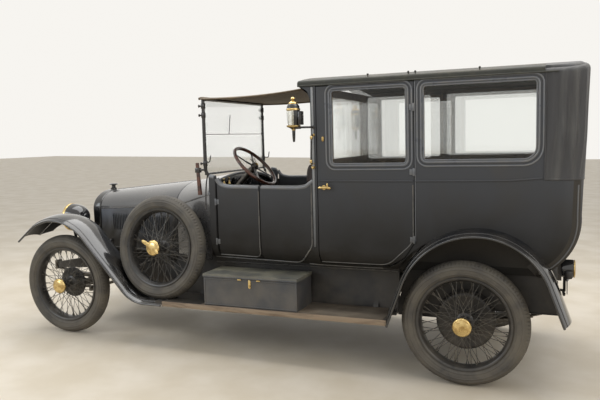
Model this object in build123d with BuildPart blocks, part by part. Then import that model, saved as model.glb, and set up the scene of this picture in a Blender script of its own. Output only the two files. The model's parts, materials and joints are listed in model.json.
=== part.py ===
from build123d import *
import os
from math import atan2, cos, degrees, radians, sin, tan

# A closed touring limousine of the 1920s with an open driver's seat. Sizes are millimetres.
# The car is drawn level: x forward from the rear axle, y to the car's left, z up from the ground under
# the rear wheels. At the end every piece is pitched nose down by rake_deg about the rear axle and moved
# along x, so that all four wheels stand on z = 0 and the origin lies midway along the car.

# Stance and wheels
wheel_base = 3483
rake_deg = 1.04
track = 1420
tyre_radius = 440
tyre_width = 124
tyre_bore = 318
tread_width = 92
tyre_sides = 40
rim_sides = 20
rim_width = 92
rim_depth = 20
rim_lip = 12
hub_radius = 36
hub_sides = 12
hub_cap_radius = 66
hub_cap_face = 139
spoke_size = 5
spokes_per_row = 9
drum_radius = 205
drum_sides = 32
bore_start = 70
bore_end = 72
spindle_end = 60
fit_gap = 0.3
shaft_gap = 0.05
pin_gap = 2
run_gap = 6
shut_gap = 6

# Frame and axles
rail_half = 375
rail_width = 45
rail_top = 690
rail_depth = 100
rail_wall = 6
frame_rear = -600
frame_front = 3935
horn_drop = 110
member_length = 60
handle_x = 3410
handle_z = 612
handle_radius = 15
hook_circle = 44
hook_holes = 4
hook_hole_radius = 5.5
spring_width = 50
leaf_thickness = 8
leaf_count = 4
front_spring_half = 440
front_spring_end_z = 566
rear_spring_half = 560
rear_spring_end_z = 478
axle_tube_radius = 45
kingpin_inset = 92
kingpin_radius = 12
spindle_radius = 20
beam_drop = 16
eye_height = 58
ear_thickness = 16
arm_length = 170
engine_rear = 2190
engine_front = 3380

# Cabin
cabin_half = 705
cabin_wall = 34
cabin_front = 1113
cabin_rear = 742
cabin_rear_top = 775
body_bottom = 765
floor_thickness = 30
waist_z = 1432
eaves_z = 2125
roof_side_z = 2168
roof_crown_z = 2236
roof_front = 1215
roof_panel = 26
corner_radius = 150
roll_steps = 4
rear_bow_radius = 430
hood_front = -510
hood_thickness = 24
pillar_width = 47
door_rear = 345
door_bottom = 803
door_corner = 185
door_corner_bow = 0.4
door_bevel = 10
door_reach = 130
window_bottom = 1545
window_top = 2094
window_corner = 30
glass_thickness = 6
glass_depth = 14
front_glass_edge = 960
rear_glass_edge = 392
quarter_front = 286
quarter_rear = -470
quarter_corner = 90
rear_light_width = 380
rear_light_height = 190
wheelhouse_radius = 625
wheelhouse_half = 596
division_thickness = 26
division_light_half = 500

# Driver's compartment
dash_x = 2050
scuttle_front = 2506
scuttle_sheet = 16
front_half = 618
sill_top_z = 1368
cowl_top_z = 1448
front_door_rear = 1575
front_door_front = 1985
seat_rear = 1140
seat_depth = 460
seat_height = 320

# Bonnet and radiator
radiator_back = 3452
radiator_front = 3540
radiator_foot = 640
shell_border = 38
fin_count = 15
bonnet_rear_half = 400
bonnet_front_half = 262
bonnet_rear_shoulder = 1190
bonnet_front_shoulder = 1140
bonnet_rear_top = 1384
bonnet_front_top = 1292
bonnet_bottom = 760
bonnet_sheet = 8
arch_steps = 10

# Fenders, boards and box
fender_tip = 3928
fender_outer = 832
fender_inner = 560
fender_sheet = 6
fender_crown = 44
fender_lip = 24
fender_fill = 60
arc_steps = 6
board_top = 435
board_thickness = 25
board_inner = 450
board_outer = 815
board_front = 2490
board_rear = 520
apron_lean = 20
apron_sheet = 8
box_front = 2020
box_rear = 1222
box_inner = 492
box_outer = 800
box_height = 232
box_wall = 15
lid_thickness = 24
lid_lip = 8

# Spare wheel
spare_x = 2515
spare_y = 645
spare_z = 858
spare_lean = 6.8
spare_toe = 3.9

# Steering
steering_x = 1768
steering_y = 330
steering_z = 1525
steering_radius = 225
steering_rim = 13
column_radius = 19
column_length = 850
column_tilt = 45

# Windscreen and canopy
screen_x = 2112
screen_half = 565
screen_top = 2095
screen_bottom = 1462
screen_mid = 1790
screen_bar = 20
canopy_half = 600
canopy_thickness = 10
canopy_sag = 22

# Lamps
headlamp_x = 3600
headlamp_y = 400
headlamp_z = 1062
headlamp_radius = 130
side_lamp_x = 1222
side_lamp_y = 770
side_lamp_z = 1838
side_lamp_radius = 52
tail_lamp_y = 535

os.makedirs("parts", exist_ok=True)

front_axle_x = wheel_base * cos(radians(rake_deg))
front_axle_z = tyre_radius + wheel_base * sin(radians(rake_deg))
wheel_half = track / 2
kingpin_half = wheel_half - kingpin_inset
rail_bottom = rail_top - rail_depth
rail_in = rail_half - rail_width
spring_y = rail_half - rail_width / 2
floor_top = body_bottom + floor_thickness
inner_half = cabin_half - cabin_wall
door_front = cabin_front - pillar_width
column_dir = Vector(cos(radians(column_tilt)), 0, -sin(radians(column_tilt)))
pieces = {}


def mirrored(piece):
    """The same piece on the car's other side."""
    with BuildPart() as other:
        mirror(piece.part, about=Plane.XZ)
    return other


def skinned(rings, twisted=False):
    """A solid with flat faces between rings of as many corners each, halved where the rings differ in form."""
    faces = [Face(Wire.make_polygon(ring)) for ring in (rings[0], rings[-1])]
    for near, far in zip(rings, rings[1:]):
        for k in range(len(near)):
            if twisted:
                faces.append(Face(Wire.make_polygon([near[k - 1], near[k], far[k]])))
                faces.append(Face(Wire.make_polygon([near[k - 1], far[k], far[k - 1]])))
            else:
                faces.append(Face(Wire.make_polygon([near[k - 1], near[k], far[k], far[k - 1]])))
    return Solid(Shell(faces))


def turned(stations, sides):
    """A many-sided turned solid about the y axis, through (y, radius) stations."""
    corners_round = [radians(360 * k / sides) for k in range(sides)]
    return skinned([[Vector(radius * cos(t), y, radius * sin(t)) for t in corners_round]
                    for y, radius in stations])


def side_slab(points, low_y, high_y):
    """A side-view outline of (x, z) points, drawn through from low_y to high_y."""
    outline = make_face(Polyline(*[(x, 0, z) for x, z in points], close=True))
    return Pos(0, low_y, 0) * extrude(outline, amount=high_y - low_y, dir=(0, 1, 0))


def cross_slab(points, low_x, high_x):
    """A cross-section outline of (y, z) points, drawn through from low_x to high_x."""
    outline = make_face(Polyline(*[(0, y, z) for y, z in points], close=True))
    return Pos(low_x, 0, 0) * extrude(outline, amount=high_x - low_x, dir=(1, 0, 0))


# Tyre and wire wheel, drawn about the y axis with the car's outer side towards +y
tyre_half = tyre_width / 2
tread_half = tread_width / 2
rim_half = rim_width / 2
bead_half = rim_half - 4
side_radius = (tyre_bore + tyre_radius) / 2 - 6
rim_bed = tyre_bore - fit_gap
rim_foot = rim_bed - rim_depth
# columns: y, radius
tyre_stations = (
    (-bead_half, tyre_bore + 1),
    (-tyre_half, side_radius),
    (-tread_half, tyre_radius - 12),
    (-tread_half / 3, tyre_radius),
    (tread_half / 3, tyre_radius),
    (tread_half, tyre_radius - 12),
    (tyre_half, side_radius),
    (bead_half, tyre_bore + 1),
)
tyre_outside = turned(tyre_stations, tyre_sides)
tyre_hole = turned(((-tyre_half, tyre_bore), (tyre_half, tyre_bore)), tyre_sides)
with BuildPart() as tyre:
    add(tyre_outside)
    add(tyre_hole, mode=Mode.SUBTRACT)

rim_outside = turned(
    ((-rim_half - 5, rim_bed + rim_lip), (-rim_half, rim_bed + rim_lip), (-rim_half, rim_bed),
     (rim_half, rim_bed), (rim_half, rim_bed + rim_lip), (rim_half + 5, rim_bed + rim_lip)), tyre_sides)
rim_hole = turned(((-rim_half - 5, rim_bed - 2), (-rim_half / 2, rim_foot), (rim_half / 2, rim_foot),
                   (rim_half + 5, rim_bed - 2)), rim_sides)
# columns: y, radius
hub_stations = (
    (-48, hub_radius + 28),
    (-24, hub_radius + 28),
    (-12, hub_radius),
    (70, hub_radius),
    (78, hub_radius + 12),
    (96, hub_radius + 12),
    (104, hub_cap_radius),
    (hub_cap_face - 12, hub_cap_radius),
    (hub_cap_face, hub_cap_radius - 20),
)
hub = turned(hub_stations, hub_sides)
drum_outside = turned(((-112, drum_radius), (-64, drum_radius), (-48, drum_radius - 24)), drum_sides)
drum_hole = turned(((-113, drum_radius - 8), (-72, drum_radius - 8), (-62, drum_radius - 40)), drum_sides)
# columns: foot radius on the hub, foot y, head y in the rim, turn of the foot round the hub
lacing = (
    (hub_radius + 2, 86, 12, 56),
    (hub_radius + 2, 86, 12, -56),
    (hub_radius + 18, -34, -12, 62),
    (hub_radius + 18, -34, -12, -62),
)


def laced_spokes():
    """Square bars from the hub's two flanges to the rim, crossing each other in pairs."""
    spokes = []
    for row, (foot_radius, foot_y, head_y, turn) in enumerate(lacing):
        for step in range(spokes_per_row):
            angle = 360 * (step + row / len(lacing)) / spokes_per_row
            foot = Vector(foot_radius, foot_y, 0).rotate(Axis.Y, angle + turn)
            head = Vector(rim_foot + rim_depth / 3, head_y, 0).rotate(Axis.Y, angle)
            length = (head - foot).length
            bar = Box(spoke_size, spoke_size, length, align=(Align.CENTER, Align.CENTER, Align.MIN))
            spokes.append(Plane(origin=foot, z_dir=head - foot).location * bar)
    return spokes


spoke_set = laced_spokes()


def wire_wheel(with_drum):
    """Rim, laced spokes, hub and cap, with the brake drum inboard where the wheel has one."""
    with BuildPart() as wheel:
        add(rim_outside)
        add(rim_hole, mode=Mode.SUBTRACT)
        add(spoke_set)
        add(hub)
        if with_drum:
            add(drum_outside)
            add(drum_hole, mode=Mode.SUBTRACT)
            add(hub)
        with Locations(Plane.XZ.offset(bore_start)):
            Cylinder(spindle_radius + shaft_gap, bore_start + bore_end,
                     align=(Align.CENTER, Align.CENTER, Align.MAX), mode=Mode.SUBTRACT)
    return wheel


front_wheel = wire_wheel(False)
rear_wheel = wire_wheel(True)

# columns: name, x, z, side of the car, wheel
corners = (
    ("front_left", front_axle_x, front_axle_z, 1, front_wheel),
    ("front_right", front_axle_x, front_axle_z, -1, front_wheel),
    ("rear_left", 0, tyre_radius, 1, rear_wheel),
    ("rear_right", 0, tyre_radius, -1, rear_wheel),
)
for name, x, z, side, wheel in corners:
    place = Pos(x, side * wheel_half, z) * Rot(0, 0, 0 if side > 0 else 180)
    for kind, source in (("tyre", tyre), ("wheel", wheel)):
        with BuildPart() as corner_piece:
            add(place * source.part)
        pieces[f"{kind}_{name}"] = corner_piece

# Spare wheel beside the scuttle, its top leaning in
spare_place = Pos(spare_x, spare_y, spare_z) * Rot(0, 0, -spare_toe) * Rot(spare_lean, 0, 0)
with BuildPart() as spare_tyre:
    add(spare_place * tyre.part)
with BuildPart() as spare_wheel:
    add(spare_place * front_wheel.part)
pieces["spare_tyre"] = spare_tyre
pieces["spare_wheel"] = spare_wheel
well_gap = 4
spare_well = spare_place * turned(((-tyre_half - well_gap, tyre_radius + well_gap),
                                   (tyre_half + well_gap, tyre_radius + well_gap)), tyre_sides)

# Frame: two channel rails, dropped at the front horns, and their cross members
horn_start = front_axle_x - 160
rail_line = (
    (frame_rear, rail_bottom),
    (frame_rear, rail_top),
    (front_axle_x, rail_top),
    (frame_front, rail_top - horn_drop + 30),
    (frame_front, rail_top - horn_drop - 20),
    (horn_start, rail_bottom),
)
channel_line = (
    (frame_rear - 1, rail_bottom + rail_wall),
    (frame_rear - 1, rail_top - rail_wall),
    (horn_start, rail_top - rail_wall),
    (horn_start, rail_bottom + rail_wall),
)
rail = side_slab(rail_line, rail_in, rail_half)
channel = side_slab(channel_line, rail_in - 1, rail_half - rail_wall)
rear_member_x = frame_rear + 40
rear_member_z = rail_top - rail_wall - 35
# columns: x, height
cross_members = (
    (rear_member_x, 70),
    (-170, 70),
    (620, 70),
    (1500, 70),
    (2330, 60),
    (handle_x, 100),
)
with BuildPart() as frame:
    add(rail)
    add(channel, mode=Mode.SUBTRACT)
    mirror(about=Plane.XZ)
    for x, height in cross_members:
        with Locations((x, 0, rail_top - rail_wall)):
            Box(member_length, 2 * (rail_half - rail_wall), height, align=(Align.CENTER, Align.CENTER, Align.MAX))
    with Locations(Plane(origin=(handle_x, 0, handle_z), z_dir=(1, 0, 0))):
        Cylinder(handle_radius, 2 * member_length, mode=Mode.SUBTRACT)
    with Locations(Plane(origin=(rear_member_x, 0, rear_member_z), z_dir=(1, 0, 0))):
        with PolarLocations(hook_circle / 2, hook_holes):
            Cylinder(hook_hole_radius, 2 * member_length, mode=Mode.SUBTRACT)
pieces["frame"] = frame


# Leaf springs: a stack of leaves, each an arc band
def leaf_spring(middle_x, half_length, end_z, middle_z):
    """Leaves that shorten downwards; end_z and middle_z are the top leaf's upper side."""
    sag = end_z - middle_z
    radius = (half_length ** 2 + sag ** 2) / (2 * sag)
    with BuildPart() as spring:
        for leaf in range(leaf_count):
            upper = radius + leaf * leaf_thickness
            swing = degrees(atan2(half_length * (1 - 0.2 * leaf), radius))
            with BuildSketch(Plane.XZ.offset(-spring_y - spring_width / 2)):
                with BuildLine():
                    top = CenterArc((middle_x, middle_z + radius), upper, 270 - swing, 2 * swing)
                    low = CenterArc((middle_x, middle_z + radius), upper + leaf_thickness, 270 - swing, 2 * swing)
                    Line(low @ 0, top @ 0)
                    Line(low @ 1, top @ 1)
                make_face()
            extrude(amount=spring_width)
    return spring


stack = leaf_count * leaf_thickness
front_pad_z = front_axle_z - beam_drop
rear_pad_z = tyre_radius - axle_tube_radius - 12
front_spring = leaf_spring(front_axle_x, front_spring_half, front_spring_end_z, front_pad_z + stack)
rear_spring = leaf_spring(0, rear_spring_half, rear_spring_end_z, rear_pad_z)
# columns: x and z of a spring's end
spring_ends = (
    (front_axle_x - front_spring_half, front_spring_end_z),
    (front_axle_x + front_spring_half, front_spring_end_z),
    (-rear_spring_half, rear_spring_end_z),
    (rear_spring_half, rear_spring_end_z),
)
with BuildPart() as springs:
    add(front_spring.part)
    add(rear_spring.part)
    for x, z in spring_ends:
        with Locations((x, spring_y, z - 20)):
            Box(26, spring_width + 16, rail_bottom - z + 60, align=(Align.CENTER, Align.CENTER, Align.MIN))
    add(frame.part, mode=Mode.SUBTRACT)
    mirror(about=Plane.XZ)
pieces["springs"] = springs

# Front axle: a dropped beam with an eye at each end for the kingpin
eye_radius = kingpin_radius + 14
beam_line = (
    (0, front_pad_z - 56),
    (kingpin_half - 160, front_pad_z - 56),
    (kingpin_half - 50, front_axle_z - eye_height / 2),
    (kingpin_half, front_axle_z - eye_height / 2),
    (kingpin_half, front_axle_z + eye_height / 2),
    (kingpin_half - 60, front_axle_z + eye_height / 2),
    (kingpin_half - 170, front_pad_z),
    (0, front_pad_z),
)
beam = cross_slab(beam_line, front_axle_x - 22, front_axle_x + 22)
with BuildPart() as front_axle:
    add(beam)
    with Locations((front_axle_x, kingpin_half, front_axle_z)):
        Cylinder(eye_radius, eye_height)
    with Locations((front_axle_x, spring_y, front_pad_z)):
        Box(110, spring_width + 10, 70, align=(Align.CENTER, Align.CENTER, Align.MAX))
    with Locations((front_axle_x, kingpin_half, front_axle_z)):
        Cylinder(kingpin_radius + shaft_gap, eye_height + 20, mode=Mode.SUBTRACT)
    mirror(about=Plane.XZ)
pieces["front_axle"] = front_axle

# Rear axle: tubes, differential, torque tube, back plates and spindles
drum_inner = wheel_half - 112
plate_y = drum_inner - run_gap - 12
differential = turned(((-120, 60), (-60, 125), (60, 125), (120, 60)), 16)
torque_nose = Vector(engine_rear, 0, 620)
torque_tail = Vector(0, 0, tyre_radius)
with BuildPart() as rear_axle:
    with Locations(Plane(origin=(0, 0, tyre_radius), z_dir=(0, 1, 0))):
        Cylinder(axle_tube_radius, 2 * plate_y + 12)
        Cylinder(spindle_radius, 2 * (wheel_half + spindle_end))
    add(Pos(0, 0, tyre_radius) * differential)
    with Locations(Plane(origin=torque_tail, z_dir=torque_nose - torque_tail)):
        Cylinder(38, (torque_nose - torque_tail).length + 60, align=(Align.CENTER, Align.CENTER, Align.MIN))
    for side_y in (plate_y, -plate_y - 12):
        with Locations(Plane(origin=(0, side_y, tyre_radius), z_dir=(0, 1, 0))):
            Cylinder(drum_radius - 16, 12, align=(Align.CENTER, Align.CENTER, Align.MIN))
    with Locations((0, spring_y, rear_pad_z + pin_gap), (0, -spring_y, rear_pad_z + pin_gap)):
        Box(120, spring_width + 10, 70, align=(Align.CENTER, Align.CENTER, Align.MIN))
    with Locations((engine_rear, 0, tyre_radius)):
        Box(400, 400, 900, align=(Align.MIN, Align.CENTER, Align.CENTER), mode=Mode.SUBTRACT)
    add(frame.part, mode=Mode.SUBTRACT)
pieces["rear_axle"] = rear_axle

# Steering knuckles: a fork round the axle's eye, the kingpin, the spindle and an arm for the tie rod
arm_z = front_axle_z - eye_height / 2 - pin_gap - ear_thickness / 2
fork_height = eye_height + 2 * (pin_gap + ear_thickness)
fork_face = wheel_half - 48 - pin_gap
with BuildPart() as knuckle_left:
    for ear_z in (arm_z, 2 * front_axle_z - arm_z):
        with Locations((front_axle_x, kingpin_half, ear_z)):
            Cylinder(eye_radius, ear_thickness)
            Box(44, fork_face - kingpin_half, ear_thickness, align=(Align.CENTER, Align.MIN, Align.CENTER))
    with Locations((front_axle_x, kingpin_half, front_axle_z)):
        Cylinder(kingpin_radius, fork_height)
    with Locations((front_axle_x, fork_face, front_axle_z)):
        Box(44, fork_face - kingpin_half - eye_radius - pin_gap, fork_height,
            align=(Align.CENTER, Align.MAX, Align.CENTER))
    with Locations(Plane(origin=(front_axle_x, fork_face, front_axle_z), z_dir=(0, 1, 0))):
        Cylinder(spindle_radius, wheel_half + spindle_end - fork_face, align=(Align.CENTER, Align.CENTER, Align.MIN))
    with Locations((front_axle_x, kingpin_half, arm_z)):
        Box(arm_length, 24, ear_thickness, align=(Align.MAX, Align.CENTER, Align.CENTER))
    with Locations((front_axle_x - arm_length, kingpin_half, arm_z)):
        Cylinder(18, ear_thickness)
        Cylinder(7 + shaft_gap, ear_thickness, mode=Mode.SUBTRACT)
pieces["knuckle_left"] = knuckle_left
pieces["knuckle_right"] = mirrored(knuckle_left)

# Tie rod under the knuckle arms, with a pin up into each arm
rod_height = 28
rod_z = arm_z - ear_thickness / 2 - pin_gap - rod_height / 2
with BuildPart() as tie_rod:
    with Locations((front_axle_x - arm_length, 0, rod_z)):
        Box(22, 2 * kingpin_half, 22)
    for pin_y in (-kingpin_half, kingpin_half):
        with Locations((front_axle_x - arm_length, pin_y, rod_z)):
            Cylinder(18, rod_height)
            Cylinder(7, rod_height / 2 + pin_gap + ear_thickness, align=(Align.CENTER, Align.CENTER, Align.MIN))
pieces["tie_rod"] = tie_rod

# Engine and gearbox, one plain mass on the cross members
with BuildPart() as engine:
    with Locations((engine_front, 0, 560)):
        Box(760, 300, 540, align=(Align.MAX, Align.CENTER, Align.MIN))
        Box(engine_front - engine_rear, 230, 260, align=(Align.MAX, Align.CENTER, Align.MIN))
    add(frame.part, mode=Mode.SUBTRACT)
pieces["engine"] = engine


# Cabin shell: a side profile drawn out to both sides, rolled under along the sill and round the rear
def cabin_block(inset, bottom):
    """The cabin's form, drawn in by inset at the sides and rear."""
    half = cabin_half - inset
    rear = -cabin_rear + inset
    bow = rear_bow_radius - inset
    bow_top = body_bottom + rear_bow_radius
    bow_foot = rear + 0.62 * bow
    with BuildPart() as block:
        with BuildSketch(Plane.XZ.offset(-half)):
            with BuildLine():
                Polyline((cabin_front, bottom), (cabin_front, eaves_z), (-cabin_rear_top + inset, eaves_z),
                         (rear, bow_top))
                RadiusArc((rear, bow_top), (bow_foot, bottom), -bow)
                Line((bow_foot, bottom), (cabin_front, bottom))
            make_face()
        extrude(amount=2 * half)
        side_edges = block.edges().filter_by(lambda e: abs(abs(e.center().Y) - half) < 1)
        rolled = side_edges.filter_by(lambda e: e.center().Z < eaves_z - 1 and e.center().X < cabin_front - 1)
        fillet(rolled, corner_radius - inset)
    return block


def wheelhouses(radius, half):
    """The space taken out of the body round both rear wheels."""
    with BuildPart() as space:
        with BuildSketch(Plane.XZ.offset(-half)):
            with Locations((-40, tyre_radius)):
                Circle(radius)
        extrude(amount=-400)
        mirror(about=Plane.XZ)
    return space


cabin_outer = cabin_block(0, body_bottom)
cabin_inner = cabin_block(cabin_wall, floor_top)
wheel_space = wheelhouses(wheelhouse_radius, wheelhouse_half)
wheel_cover = wheelhouses(wheelhouse_radius + cabin_wall, wheelhouse_half - cabin_wall)
cabin_room = cabin_inner.part - wheel_cover.part
with BuildPart() as cabin_shell:
    add(cabin_outer.part)
    add(wheel_space.part, mode=Mode.SUBTRACT)
    add(cabin_room, mode=Mode.SUBTRACT)

# Rear door outline: square at the top and front, cut to the fender's line at the lower rear corner
door_top = eaves_z - shut_gap
rear_door_line = (
    (door_front, door_bottom),
    (door_front, door_top),
    (door_rear, door_top),
    (door_rear, door_bottom + door_corner),
    (door_rear + door_corner_bow * door_corner, door_bottom + door_corner_bow * door_corner),
    (door_rear + door_corner, door_bottom),
)


def grown(line, gap):
    """A closed outline of (x, z) points, drawn anticlockwise, with each side moved out by gap."""
    corners_round = [Vector(x, z) for x, z in line]
    moved = []
    for before, here, after in zip(corners_round[-1:] + corners_round, corners_round,
                                   corners_round[1:] + corners_round[:1]):
        first = (here - before).normalized().rotate(Axis.Z, -90)
        second = (after - here).normalized().rotate(Axis.Z, -90)
        moved.append(here + (first + second) * (gap / (1 + first.dot(second))))
    return moved


def door_opening(line, gap, bevel):
    """A door's outline grown by the shut gap, drawn through the left wall and bevelled inwards."""
    inner_gap = gap - door_reach * tan(radians(bevel))
    # columns: y, growth of the outline there
    levels = ((cabin_half + door_reach, gap), (cabin_half, gap), (cabin_half - door_reach, inner_gap))
    return skinned([[Vector(p.X, y, p.Y) for p in grown(line, growth)] for y, growth in levels])


def window(front, rear, bottom, top, corner):
    """A window cut through the left wall, its lower rear corner rounded by corner."""
    with BuildPart() as hole:
        with BuildSketch(Plane.XZ.offset(-500)) as outline:
            with BuildLine():
                Polyline((front, bottom), (front, top), (rear, top), (rear, bottom), close=True)
            make_face()
            fillet(outline.vertices().group_by(Axis.X)[-1], window_corner)
            fillet(outline.vertices().group_by(Axis.X)[0].sort_by(Axis.Y)[-1], window_corner)
            fillet(outline.vertices().group_by(Axis.X)[0].sort_by(Axis.Y)[0], corner)
        extrude(amount=-400)
    return hole


door_window = window(front_glass_edge, rear_glass_edge, window_bottom, window_top, window_corner)
quarter_window = window(quarter_front, quarter_rear, window_bottom + 20, window_top, quarter_corner)


def pane(hole):
    """A pane of glass that fills a window in the left wall."""
    with BuildPart() as glass:
        add(hole.part)
        with Locations((0, cabin_half - glass_depth, window_bottom)):
            Box(9000, glass_thickness, 3000, align=(Align.CENTER, Align.MAX, Align.CENTER), mode=Mode.INTERSECT)
    return glass


rear_door_zone = door_opening(rear_door_line, 0, door_bevel)
with BuildPart() as rear_door_left:
    add(cabin_outer.part)
    add(rear_door_zone, mode=Mode.INTERSECT)
    add(cabin_inner.part, mode=Mode.SUBTRACT)
    add(door_window.part, mode=Mode.SUBTRACT)
pieces["rear_door_left"] = rear_door_left
pieces["rear_door_right"] = mirrored(rear_door_left)
door_glass_left = pane(door_window)
pieces["door_glass_left"] = door_glass_left
pieces["door_glass_right"] = mirrored(door_glass_left)

# Rear body: the cabin's sides, floor, rear panel and seat box, open above the waist at the hood
hood_waist = waist_z + 14
rear_seat_x = -70
house_in = wheelhouse_half - cabin_wall
door_hole = door_opening(rear_door_line, shut_gap, 0)
side_holes = door_hole + quarter_window.part
other_holes = mirror(side_holes, about=Plane.XZ)
with BuildPart() as rear_body:
    add(cabin_shell.part)
    add(side_holes, mode=Mode.SUBTRACT)
    add(other_holes, mode=Mode.SUBTRACT)
    with Locations((hood_front, 0, hood_waist)):
        Box(600, 2000, 1200, align=(Align.MAX, Align.CENTER, Align.MIN), mode=Mode.SUBTRACT)
    with Locations((rear_seat_x, 0, floor_top)):
        Box(420, 2 * house_in - 2, seat_height, align=(Align.CENTER, Align.CENTER, Align.MIN))
pieces["rear_body"] = rear_body


# Roof: a crowned panel from over the driver's seat to the hood
def crowned(half, side_z, crown_z, bottom_z, low_x, high_x):
    """A solid with flat sides and one long arc over the top, drawn along x."""
    arc = ThreePointArc((0, -half, side_z), (0, 0, crown_z), (0, half, side_z))
    sides = Polyline((0, half, side_z), (0, half, bottom_z), (0, -half, bottom_z), (0, -half, side_z))
    return Pos(low_x, 0, 0) * extrude(make_face([arc, sides]), amount=high_x - low_x, dir=(1, 0, 0))


roof_block = crowned(cabin_half, roof_side_z, roof_crown_z, eaves_z, hood_front, roof_front)
roof_hollow = crowned(inner_half, roof_side_z - roof_panel, roof_crown_z - roof_panel, eaves_z,
                      hood_front, roof_front)
with BuildPart() as roof:
    add(roof_block)
    add(roof_hollow, mode=Mode.SUBTRACT)
pieces["roof"] = roof


# Hood: the leather rear quarter, from the waist up to the roof, with a small rear light
def hood_block(inset, front):
    """The hood's form, drawn in by inset, leaning like the cabin's rear and rounded at its corners."""
    half = cabin_half - inset
    lean = (cabin_rear_top - cabin_rear) / (eaves_z - body_bottom - rear_bow_radius)
    low_z = hood_waist - 100
    high_z = roof_crown_z + 60
    low_x = -cabin_rear + inset - lean * (low_z - body_bottom - rear_bow_radius)
    high_x = low_x - lean * (high_z - low_z)
    with BuildPart() as block:
        with BuildSketch(Plane.XZ.offset(-half)):
            with BuildLine():
                Polyline((front, low_z), (front, high_z), (high_x, high_z), (low_x, low_z), close=True)
            make_face()
        extrude(amount=2 * half)
        rear_corners = block.edges().filter_by(lambda e: e.center().X < -cabin_rear + 60)
        fillet(rear_corners.filter_by(lambda e: abs(e.tangent_at(0).Z) > 0.9), corner_radius - inset)
    return block


leather = hood_block(0, hood_front)
leather_room = hood_block(hood_thickness, hood_front + 50)
leather_top = crowned(cabin_half, roof_side_z, roof_crown_z, hood_waist, -1500, 0)
leather_ceiling = crowned(cabin_half, roof_side_z - hood_thickness, roof_crown_z - hood_thickness,
                          hood_waist - 50, -1500, 0)
hood_hollow = leather_room.part & leather_ceiling
with BuildPart() as hood:
    add(leather.part)
    add(leather_top, mode=Mode.INTERSECT)
    add(hood_hollow, mode=Mode.SUBTRACT)
    with BuildSketch(Plane.YZ.offset(-cabin_rear - 100)):
        with Locations((0, (window_bottom + window_top) / 2)):
            RectangleRounded(rear_light_width, rear_light_height, 60)
    extrude(amount=200, mode=Mode.SUBTRACT)
pieces["hood"] = hood

# Division between the cabin and the driver, with its glass light
division_x = cabin_front - cabin_wall
light_height = window_top - window_bottom - 60
light_z = (window_bottom + window_top) / 2
with BuildPart() as division:
    add(cabin_room)
    with Locations((division_x, 0, light_z)):
        Box(division_thickness, 2 * cabin_half, 2 * eaves_z, align=(Align.MIN, Align.CENTER, Align.CENTER),
            mode=Mode.INTERSECT)
        Box(3 * division_thickness, 2 * division_light_half, light_height, mode=Mode.SUBTRACT)
pieces["division"] = division


# Driver's compartment: sides that narrow forwards to the dash
def tub(inset, bottom):
    """The compartment as a solid, its lower edges rolled under in short flats."""
    radius = corner_radius - inset
    rings = []
    for x, half in ((cabin_front, cabin_half - inset), (dash_x, front_half - inset)):
        left = []
        for k in range(roll_steps + 1):
            turn = radians(90 * k / roll_steps)
            left.append((half - radius * (1 - sin(turn)), max(bottom, body_bottom + inset + radius * (1 - cos(turn)))))
        left.append((half, eaves_z))
        rings.append([Vector(x, y, z) for y, z in left] + [Vector(x, -y, z) for y, z in reversed(left)])
    return skinned(rings, twisted=True)


front_door_line = (
    (front_door_front, door_bottom),
    (front_door_front, waist_z + 200),
    (front_door_rear, waist_z + 200),
    (front_door_rear, door_bottom),
)
# columns: x, z of the compartment's upper edge
sill_line = (
    (cabin_front - 1, waist_z),
    (cabin_front + 60, sill_top_z + 6),
    (cabin_front + 120, sill_top_z),
    (front_door_front - 110, sill_top_z),
    (front_door_front - 50, sill_top_z + 14),
    (front_door_front + 5, cowl_top_z),
    (dash_x + 1, cowl_top_z),
)
above_sill = side_slab((*sill_line, (dash_x + 1, 2200), (cabin_front - 1, 2200)), -1000, 1000)
tub_outside = tub(0, body_bottom)
tub_room = tub(cabin_wall, floor_top)
with BuildPart() as tub_shell:
    add(tub_outside)
    add(tub_room, mode=Mode.SUBTRACT)
    add(above_sill, mode=Mode.SUBTRACT)

front_door_zone = door_opening(front_door_line, 0, door_bevel)
with BuildPart() as front_door_left:
    add(tub_shell.part)
    add(front_door_zone, mode=Mode.INTERSECT)
pieces["front_door_left"] = front_door_left
pieces["front_door_right"] = mirrored(front_door_left)

front_hole = door_opening(front_door_line, shut_gap, 0)
other_front_hole = mirror(front_hole, about=Plane.XZ)
with BuildPart() as front_body:
    add(tub_shell.part)
    add(front_hole, mode=Mode.SUBTRACT)
    add(other_front_hole, mode=Mode.SUBTRACT)
    with Locations((seat_rear, 0, floor_top)):
        Box(seat_depth - 40, 1100, seat_height, align=(Align.MIN, Align.CENTER, Align.MIN))
pieces["front_body"] = front_body


# Scuttle, bonnet and radiator share one cross section
def arched(x, half, shoulder_z, top_z, bottom_z):
    """Corners of a section with flat sides up to the shoulder, then an elliptical arch in short flats."""
    arch = []
    for k in range(arch_steps + 1):
        turn = radians(180 * k / arch_steps)
        arch.append(Vector(x, half * cos(turn), shoulder_z + (top_z - shoulder_z) * sin(turn)))
    return [Vector(x, half, bottom_z), *arch, Vector(x, -half, bottom_z)]


def scuttle_block(inset, bottom):
    """The scuttle as a solid, inset by the sheet's thickness."""
    rear = arched(dash_x, front_half - inset, sill_top_z - 60 - inset, cowl_top_z + 12 - inset, bottom)
    front = arched(scuttle_front, bonnet_rear_half - inset, bonnet_rear_shoulder - inset,
                   bonnet_rear_top - inset, bottom)
    return skinned([rear, front], twisted=True)


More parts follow.
